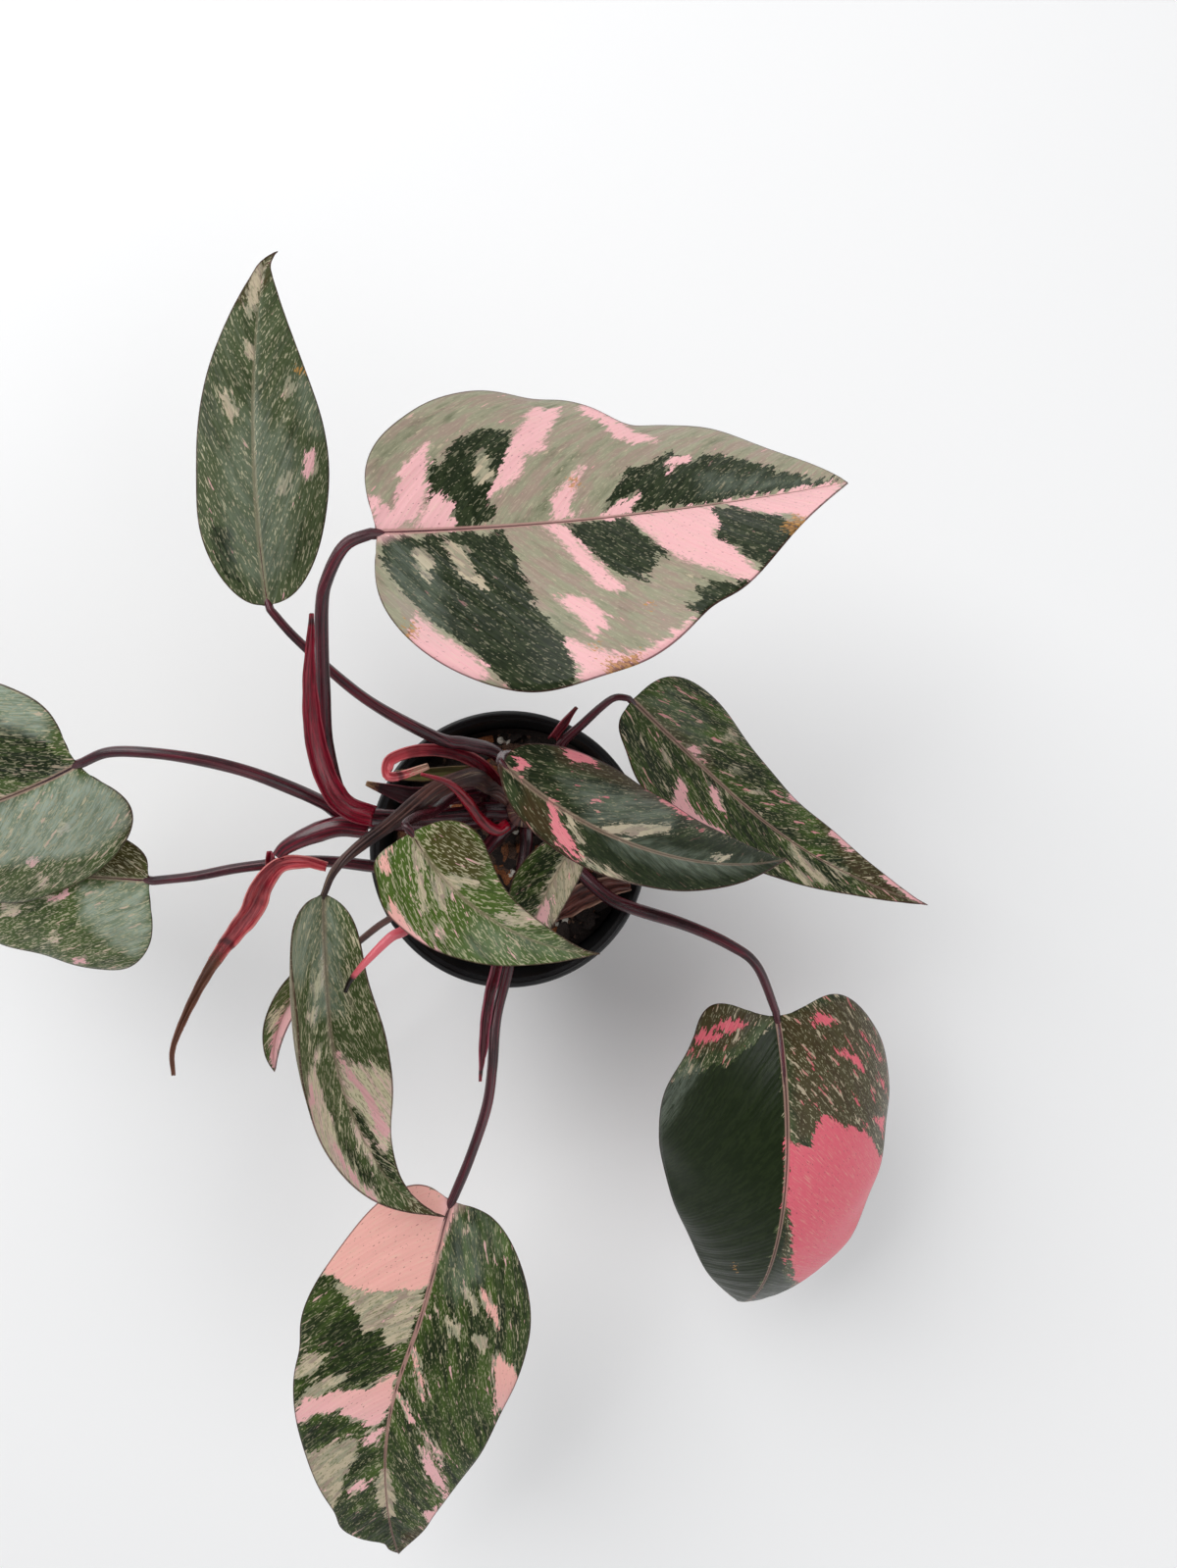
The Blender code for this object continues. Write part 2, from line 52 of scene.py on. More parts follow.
def meshPiece(name, points, faces, materials, values=None, weld=2e-6):
    # points in millimetres; values are point attributes, a number or a vector each;
    # points closer than weld (in metres) become one, which closes seams and poles
    mesh = bpy.data.meshes.new(name)
    faces = faces if isinstance(faces, list) else faces.tolist()
    mesh.from_pydata((np.asarray(points, float) * mm).tolist(), [], faces)
    for label, data in (values or {}).items():
        data = np.ascontiguousarray(data, np.float32)
        kind, key = ("FLOAT", "value") if data.ndim == 1 else ("FLOAT_VECTOR", "vector")
        layer = mesh.attributes.new(label, kind, "POINT")
        layer.data.foreach_set(key, data.ravel())
    if weld:
        soft = bmesh.new()
        soft.from_mesh(mesh)
        bmesh.ops.remove_doubles(soft, verts=soft.verts, dist=weld)
        soft.to_mesh(mesh)
        soft.free()
    mesh.polygons.foreach_set("use_smooth", np.ones(len(mesh.polygons), bool))
    for material in materials:
        mesh.materials.append(material)
    piece = bpy.data.objects.new(name, mesh)
    scene.collection.objects.link(piece)
    return piece


def finishPiece(piece, node):
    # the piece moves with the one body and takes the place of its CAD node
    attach(piece, "root")
    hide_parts(node)


def thicken(piece, thickness, underside=0):
    # half the thickness to each side of a surface; underside picks the back's material
    shell = piece.modifiers.new("thickness", "SOLIDIFY")
    shell.thickness = thickness * mm
    shell.offset = 0
    shell.material_offset = underside


def turn(angle):
    # cosine and sine of an angle in degrees
    return np.cos(np.radians(angle)), np.sin(np.radians(angle))


def smoothRoute(points, step):
    # points about step apart on a Catmull-Rom curve: between two given points it is the cubic
    # whose slope at each is half the line from the point before to the point after
    points = np.array(points, float)
    first, last = 2 * points[0] - points[1], 2 * points[-1] - points[-2]
    padded = np.concatenate([[first], points, [last]])
    t = np.linspace(0, 1, 24, endpoint=False)[None, :, None]
    before, start, stop, after = (padded[k:len(padded) - 3 + k, None] for k in range(4))
    fine = 0.5 * (2 * start + (stop - before) * t
                  + (2 * before - 5 * start + 4 * stop - after) * t ** 2
                  + (3 * start - before - 3 * stop + after) * t ** 3)
    fine = np.concatenate([fine.reshape(-1, 3), points[-1:]])
    along = np.concatenate([[0], np.cumsum(np.linalg.norm(np.diff(fine, axis=0), axis=1))])
    wanted = np.linspace(0, along[-1], max(6, round(along[-1] / step) + 1))
    return np.stack([np.interp(wanted, along, fine[:, k]) for k in range(3)], axis=1)


def unit(vectors):
    # each vector divided by its length
    return vectors / np.linalg.norm(vectors, axis=-1, keepdims=True)


def put(tree, kind, sockets=None, **settings):
    # a new shader node; a socket given as a value is linked, anything else is set
    made = tree.nodes.new(kind)
    for key, value in settings.items():
        setattr(made, key, value)
    for key, value in (sockets or {}).items():
        if isinstance(value, bpy.types.NodeSocket):
            tree.links.new(value, made.inputs[key])
        else:
            made.inputs[key].default_value = value
    return made


def calc(tree, operation, first, second=0.0, third=None, clamp=False):
    # one step of arithmetic on values
    sockets = {0: first, 1: second}
    if third is not None:
        sockets[2] = third
    return put(tree, "ShaderNodeMath", sockets, operation=operation, use_clamp=clamp).outputs[0]


def plus(tree, first, second, clamp=False):
    return calc(tree, "ADD", first, second, clamp=clamp)


def minus(tree, first, second):
    return calc(tree, "SUBTRACT", first, second)


def times(tree, first, second, clamp=False):
    return calc(tree, "MULTIPLY", first, second, clamp=clamp)


def timesPlus(tree, first, second, third):
    # first times second, plus third
    return calc(tree, "MULTIPLY_ADD", first, second, third)


def blend(tree, share, low, high):
    # the low colour where share is 0 and the high one where it is 1
    return put(tree, "ShaderNodeMix", {0: share, 6: low, 7: high}, data_type="RGBA").outputs[2]


def readValue(tree, label):
    # a number kept at the points of the piece
    return put(tree, "ShaderNodeAttribute", attribute_name=label).outputs["Fac"]


def readVector(tree, label):
    # three numbers kept at the points of the piece
    return put(tree, "ShaderNodeAttribute", attribute_name=label).outputs["Vector"]


def split(tree, vector):
    return put(tree, "ShaderNodeSeparateXYZ", {0: vector}).outputs


def ramp(tree, value, low, high, toLow=0.0, toHigh=1.0, smooth=True):
    # value from low to high becomes toLow to toHigh, eased at both ends, and is held outside them
    kind = "SMOOTHSTEP" if smooth else "LINEAR"
    made = put(tree, "ShaderNodeMapRange", {0: value, 1: low, 2: high, 3: toLow, 4: toHigh},
               interpolation_type=kind)
    return made.outputs[0]


def noise(tree, vector, scale, detail=2.0, roughness=0.5):
    made = put(tree, "ShaderNodeTexNoise",
               {"Vector": vector, "Scale": scale, "Detail": detail, "Roughness": roughness})
    return made.outputs["Fac"]


def colour(red, green, blue):
    # a colour as it shows on screen, 0 to 255, turned to the shader's linear scale
    shown = np.array([red, green, blue]) / 255
    linear = np.where(shown < 0.04045, shown / 12.92, ((shown + 0.055) / 1.055) ** 2.4)
    return (*[float(c) for c in linear], 1.0)


def addBump(tree, shader, strength, depth, height):
    # fine relief in the shading, depth in metres
    bump = put(tree, "ShaderNodeBump", {"Strength": strength, "Distance": depth, "Height": height})
    tree.links.new(bump.outputs[0], shader.inputs["Normal"])


def startMaterial(name, roughness):
    material = bpy.data.materials.new(name)
    material.use_nodes = True
    shader = material.node_tree.nodes["Principled BSDF"]
    shader.inputs["Roughness"].default_value = roughness
    return material, material.node_tree, shader


def startGroup(name, inputs, outputs):
    # a node group with named inputs (name, kind, default) and outputs (name, kind)
    group = bpy.data.node_groups.new(name, "ShaderNodeTree")
    for label, kind, value in inputs:
        socket = group.interface.new_socket(label, in_out="INPUT", socket_type=kind)
        if value is not None:
            socket.default_value = value
    for label, kind in outputs:
        group.interface.new_socket(label, in_out="OUTPUT", socket_type=kind)
    given = group.nodes.new("NodeGroupInput")
    made = group.nodes.new("NodeGroupOutput")
    return group, given.outputs, made.inputs


def useGroup(tree, group, sockets):
    return put(tree, "ShaderNodeGroup", sockets, node_tree=group).outputs


def buildStreaks():
    # noise drawn out along the side veins: place is (across the veins, along them, leaf number)
    group, given, made = startGroup(
        "veinStreaks",
        [("Place", "NodeSocketVector", None), ("Across", "NodeSocketFloat", 0.5),
         ("Along", "NodeSocketFloat", 0.1), ("Detail", "NodeSocketFloat", 2.0)],
        [("Streak", "NodeSocketFloat")])
    vector = drawnOut(group, given)
    sockets = {"Vector": vector, "Scale": 1.0, "Detail": given["Detail"], "Roughness": 0.6}
    texture = put(group, "ShaderNodeTexNoise", sockets, noise_dimensions="2D")
    group.links.new(texture.outputs["Fac"], made["Streak"])
    return group


def buildMosaic():
    # long narrow cells along the side veins, each with a tone of its own
    group, given, made = startGroup(
        "veinMosaic",
        [("Place", "NodeSocketVector", None), ("Across", "NodeSocketFloat", 0.5),
         ("Along", "NodeSocketFloat", 0.1), ("Bend", "NodeSocketFloat", 0.3)],
        [("Tone", "NodeSocketFloat")])
    vector = drawnOut(group, given)
    push = put(group, "ShaderNodeTexNoise", {"Vector": vector, "Scale": 1.7, "Detail": 1.0},
               noise_dimensions="2D")
    pushed = put(group, "ShaderNodeVectorMath", {0: push.outputs["Color"], 1: given["Bend"]},
                 operation="MULTIPLY")
    moved = put(group, "ShaderNodeVectorMath", {0: vector, 1: pushed.outputs[0]},
                operation="ADD").outputs[0]
    cells = put(group, "ShaderNodeTexVoronoi", {"Vector": moved, "Scale": 1.0}, voronoi_dimensions="2D")
    group.links.new(split(group, cells.outputs["Color"])[0], made["Tone"])
    return group


def drawnOut(group, given):
    # place stretched by Across and Along, and moved far off for each leaf so that none repeats
    x, y, z = split(group, given["Place"])[:3]
    return put(group, "ShaderNodeCombineXYZ", {
        0: timesPlus(group, x, given["Across"], times(group, z, 31.7)),
        1: timesPlus(group, y, given["Along"], times(group, z, 13.1)), 2: 0.0}).outputs[0]


def buildPatchMask():
    # field is the distance inside a patch; steep is how fast it changes along the veins, so
    # borders that cross the veins get long teeth and borders along them stay smooth
    group, given, made = startGroup(
        "patchMask",
        [(label, "NodeSocketFloat", value) for label, value in (
            ("Field", 0.0), ("Steep", 0.5), ("Jag", 0.5), ("Tear", 0.5), ("Amount", 3.0), ("Sharp", 0.25))],
        [("Mask", "NodeSocketFloat")])
    teeth = times(group, minus(group, given["Jag"], 0.485), given["Amount"])
    shift = times(group, teeth, plus(group, given["Steep"], 0.22))
    shift = timesPlus(group, minus(group, given["Tear"], 0.5), 4.0, shift)
    height = calc(group, "DIVIDE", plus(group, given["Field"], shift), given["Sharp"])
    mask = plus(group, height, 0.5, clamp=True)
    group.links.new(mask, made["Mask"])
    return group


def buildGrain():
    # fine surface unevenness for stalks, soil and pot, from object coordinates in millimetres
    group, given, made = startGroup(
        "fineGrain",
        [("Coarse", "NodeSocketFloat", 0.3), ("Fine", "NodeSocketFloat", 2.0)],
        [("Broad", "NodeSocketFloat"), ("Small", "NodeSocketFloat")])
    place = put(group, "ShaderNodeTexCoord").outputs["Object"]
    scaled = put(group, "ShaderNodeVectorMath", {0: place, 1: (1000, 1000, 1000)},
                 operation="MULTIPLY").outputs[0]
    broad = put(group, "ShaderNodeTexNoise", {"Vector": scaled, "Scale": given["Coarse"], "Detail": 3.0})
    small = put(group, "ShaderNodeTexNoise", {"Vector": scaled, "Scale": given["Fine"], "Detail": 4.0})
    group.links.new(broad.outputs["Fac"], made["Broad"])
    group.links.new(small.outputs["Fac"], made["Small"])
    return group


streaks = buildStreaks()
mosaic = buildMosaic()
patchMask = buildPatchMask()
fineGrain = buildGrain()
print("shared effects ready")


leafColours = {
    "deep": colour(21, 32, 9),
    "grey": colour(70, 79, 54),
    "lime": colour(70, 92, 32),
    "sage": colour(148, 146, 122),
    "taupe": colour(152, 134, 120),
    "pale": colour(186, 172, 146),
    "cream": colour(214, 206, 172),
    "blush": colour(226, 196, 184),
    "peach": colour(232, 178, 180),
    "salmon": colour(230, 170, 160),
    "hotPink": colour(214, 94, 110),
    "olive": colour(66, 48, 24),
    # the pale grey of the painted sheen, a painted reflection on the leaf
    "paintedSheen": colour(166, 178, 162),
    "ribPale": colour(146, 142, 112),
    "ribPink": colour(184, 128, 128),
    "ribDark": colour(60, 30, 32),
    "rim": colour(62, 30, 28),
    "crisp": colour(182, 132, 66),
    "scorch": colour(96, 58, 34),
    "under": colour(104, 78, 62),
}

# noise along the side veins: changes per millimetre across them and along them, and its detail
veinNoise = {
    "lobes": (0.36, 0.1, 3.0), "tear": (1.1, 0.6, 3.0), "broad": (0.14, 0.05, 3.0),
    "hair": (2.2, 0.16, 2.0), "dash": (1.15, 0.3, 1.0), "dots": (1.5, 0.9, 0.5), "fleck": (0.5, 0.13, 2.0),
}
veinCells = {"cells": (0.7, 0.17), "smallCells": (1.6, 0.5)}
# how far the noise moves the border of each kind of patch, and how soft that border is
borders = {
    "warm": (10.0, 4.0), "dark": (12.0, 0.2), "halo": (10.0, 0.25), "pale": (11.0, 0.2),
    "pink": (11.0, 0.2), "paintedSheen": (12.0, 6.0), "crisp": (9.0, 0.5),
}


def patch(tree, kind, field, steep, jag, tear=0.5, sharp=None):
    amount, soft = borders[kind]
    return useGroup(tree, patchMask, {
        "Field": field, "Steep": steep, "Jag": jag, "Tear": tear, "Amount": amount,
        "Sharp": soft if sharp is None else sharp})["Mask"]


def leafMaterial(name, dull):
    # base green, then dark, pale and pink patches, specks, veins, midrib and rim
    material, tree, shader = startMaterial(name, 0.36 + 0.2 * dull)
    tones = leafColours
    place = readVector(tree, "place")
    pinkField, paleField, darkField = split(tree, readVector(tree, "fields"))[:3]
    pinkSteep, paleSteep, darkSteep = split(tree, readVector(tree, "steep"))[:3]
    paintedSheenField, warmField, crispField = split(tree, readVector(tree, "extras"))[:3]
    baseTone, specks, ribTone = split(tree, readVector(tree, "looks"))[:3]
    toRib, toEdge, alongLeaf = split(tree, readVector(tree, "reach"))[:3]
    heat, lime, flecks = split(tree, readVector(tree, "hues"))[:3]
    calm, paintedSheenStrength, cream = split(tree, readVector(tree, "moods"))[:3]

    lobes, tear, broad, hair, dash, dots, fleck = [
        useGroup(tree, streaks,
                 {"Place": place, "Across": across, "Along": along, "Detail": detail})["Streak"]
        for across, along, detail in veinNoise.values()]
    cells, smallCells = [
        useGroup(tree, mosaic, {"Place": place, "Across": across, "Along": along, "Bend": 0.5})["Tone"]
        for across, along in veinCells.values()]
    # borders wander with the lobes and step from cell to cell
    steps = timesPlus(tree, cells, 0.2, times(tree, smallCells, 0.1))
    jag = plus(tree, timesPlus(tree, lobes, 0.62, 0.04), steps)

    # the green itself, from deep through mid green to sage
    drift = timesPlus(tree, cells, 0.12, timesPlus(tree, smallCells, 0.06, -0.09))
    slow = times(tree, minus(tree, broad, 0.5), 0.7)
    tone = plus(tree, baseTone, plus(tree, drift, slow), clamp=True)
    middle = blend(tree, lime, tones["grey"], tones["lime"])
    sagePlace = timesPlus(tree, lobes, 0.6, times(tree, broad, 0.4))
    softSage = blend(tree, ramp(tree, sagePlace, 0.42, 0.6), tones["sage"], tones["taupe"])
    softSage = blend(tree, ramp(tree, hair, 0.5, 0.75, 0.0, 0.3), softSage, tones["pale"])
    base = blend(tree, ramp(tree, tone, 0.05, 0.5), tones["deep"], middle)
    base = blend(tree, ramp(tree, tone, 0.5, 0.95), base, softSage)

    # olive-brown parts, then dark and pale patches with borders torn along the veins
    warm = patch(tree, "warm", warmField, 0.5, jag)
    base = blend(tree, times(tree, warm, 0.7), base, tones["olive"])
    dark = patch(tree, "dark", darkField, darkSteep, jag, tear)
    patchy = times(tree, ramp(tree, plus(tree, smallCells, cells), 0.6, 1.7, 0.0, 0.75),
                   timesPlus(tree, calm, -0.85, 1.0))
    darkTone = blend(tree, patchy, tones["deep"], middle)
    base = blend(tree, dark, base, darkTone)
    # a narrow sage edge round pink and pale patches
    nearPatch = plus(tree, calc(tree, "MAXIMUM", pinkField, paleField), 0.9)
    halo = patch(tree, "halo", nearPatch, 0.5, fleck, tear)
    halo = times(tree, halo, minus(tree, 0.85, heat), clamp=True)
    base = blend(tree, halo, base, softSage)
    pale = patch(tree, "pale", plus(tree, paleField, 0.5), paleSteep, jag, tear)
    paleTone = blend(tree, ramp(tree, plus(tree, cells, hair), 0.7, 1.4), softSage, tones["pale"])
    creamTone = blend(tree, ramp(tree, lobes, 0.4, 0.6), tones["cream"], tones["blush"])
    paleTone = blend(tree, cream, paleTone, creamTone)
    base = blend(tree, pale, base, paleTone)

    # small dots and dashes and larger flecks of cream or pink along the veins, few on calm dark parts
    quiet = minus(tree, 1.0, times(tree, dark, calm))
    lift = times(tree, minus(tree, specks, 0.6), 0.12)
    dashMask = calc(tree, "MAXIMUM", ramp(tree, plus(tree, dash, lift), 0.66, 0.71, 0.0, 0.65),
                    ramp(tree, plus(tree, dots, lift), 0.69, 0.75, 0.0, 0.75))
    paleGreen = blend(tree, 0.45, middle, tones["pale"])
    dashTone = blend(tree, ramp(tree, tone, 0.1, 0.8), paleGreen, tones["cream"])
    dashTone = blend(tree, times(tree, pale, 0.6), dashTone, middle)
    onSage = times(tree, ramp(tree, baseTone, 0.6, 0.9), minus(tree, 1.0, dark))
    shown = times(tree, quiet, timesPlus(tree, onSage, -0.75, 1.0))
    base = blend(tree, times(tree, dashMask, shown), base, dashTone)
    fleckEdge = timesPlus(tree, minus(tree, tear, 0.5), 0.12, plus(tree, fleck, flecks))
    fleckMask = ramp(tree, fleckEdge, 0.69, 0.7)
    warmFleck = blend(tree, heat, tones["peach"], tones["hotPink"])
    pinkShare = times(tree, ramp(tree, broad, 0.45, 0.6), minus(tree, 1.0, cream))
    fleckTone = blend(tree, pinkShare, blend(tree, cream, tones["pale"], tones["cream"]), warmFleck)
    base = blend(tree, times(tree, times(tree, fleckMask, 0.8), quiet), base, fleckTone)

    # pink has soft borders on sage and torn ones on green
    pink = patch(tree, "pink", plus(tree, pinkField, 0.4), pinkSteep, jag, tear,
                 sharp=timesPlus(tree, onSage, 1.4, borders["pink"][1]))
    pinkTone = blend(tree, ramp(tree, heat, 0.3, 1.0), tones["peach"], tones["hotPink"])
    warmth = timesPlus(tree, alongLeaf, 0.7, heat)
    pinkTone = blend(tree, ramp(tree, warmth, 0.1, 0.3), tones["salmon"], pinkTone)
    pinkTone = blend(tree, ramp(tree, hair, 0.5, 0.8, 0.0, 0.3), pinkTone, tones["cream"])
    pinkTone = blend(tree, ramp(tree, dots, 0.2, 0.25, 0.5, 0.0), pinkTone, tones["ribDark"])
    base = blend(tree, pink, base, pinkTone)

    # side veins, a little paler than the blade between them and redder on pink
    x = split(tree, place)[0]
    wave = calc(tree, "COSINE", times(tree, x, 3.4))
    vein = times(tree, ramp(tree, wave, 0.75, 1.0, 0.0, 0.14), ramp(tree, lobes, 0.35, 0.65))
    vein = times(tree, vein, quiet)
    base = blend(tree, vein, base, blend(tree, pink, tones["ribPale"], tones["hotPink"]))

    # painted sheen: a pale grey painted where the leaf turns to the light, standing in for its reflection
    paintedSheen = patch(tree, "paintedSheen", paintedSheenField, 0.3, jag)
    sheen = times(tree, paintedSheenStrength, ramp(tree, plus(tree, hair, lobes), 0.75, 1.25, 0.45, 1.0))
    marks = calc(tree, "MAXIMUM", dashMask, fleckMask)
    sheen = times(tree, sheen, timesPlus(tree, marks, -0.8, 1.0))
    base = blend(tree, times(tree, paintedSheen, sheen), base, tones["paintedSheen"])

    # two pale or pink bands with a dark line between them, and a blush round the foot of the blade
    ribWidth = ramp(tree, alongLeaf, 0.0, 1.0, 1.15, 0.35, smooth=False)
    ribShare = calc(tree, "DIVIDE", toRib, ribWidth)
    foot = timesPlus(tree, alongLeaf, 50.0, times(tree, lobes, 6.0))
    foot = plus(tree, foot, toRib)
    blush = times(tree, ramp(tree, foot, 3.0, 9.5, 0.75, 0.0), ramp(tree, ribTone, 0.6, 0.75))
    base = blend(tree, blush, base, tones["peach"])
    band = times(tree, ramp(tree, ribShare, 0.7, 1.15, 1.0, 0.0),
                 ramp(tree, ribTone, 0.0, 1.0, 0.45, 0.8))
    band = times(tree, band, ramp(tree, alongLeaf, 0.3, 1.0, 1.0, 0.5))
    base = blend(tree, band, base, blend(tree, ribTone, tones["ribPale"], tones["ribPink"]))
    core = times(tree, ramp(tree, ribShare, 0.18, 0.42, 1.0, 0.0),
                 ramp(tree, ribTone, 0.1, 0.6, 0.15, 0.85))
    base = blend(tree, core, base, tones["ribDark"])
    rim = ramp(tree, toEdge, 0.2, 0.6, 1.0, 0.0)
    base = blend(tree, times(tree, rim, 0.75), base, tones["rim"])
    # small dry marks, brown to gold
    crisp = patch(tree, "crisp", minus(tree, crispField, 0.7), 0.8, tear, dots)
    crispTone = blend(tree, ramp(tree, tear, 0.4, 0.6), tones["scorch"], tones["crisp"])
    base = blend(tree, times(tree, crisp, 0.8), base, crispTone)
    if dull:
        base = blend(tree, 0.45, base, tones["under"])
    tree.links.new(base, shader.inputs["Base Color"])

    gloss = plus(tree, ramp(tree, hair, 0.3, 0.7, -0.05, 0.07), 0.34 + 0.2 * dull)
    tree.links.new(gloss, shader.inputs["Roughness"])
    height = plus(tree, times(tree, wave, 0.3), times(tree, hair, 0.9))
    addBump(tree, shader, 0.3, 0.0003, height)
    shader.inputs["Specular IOR Level"].default_value = 0.18
    return material
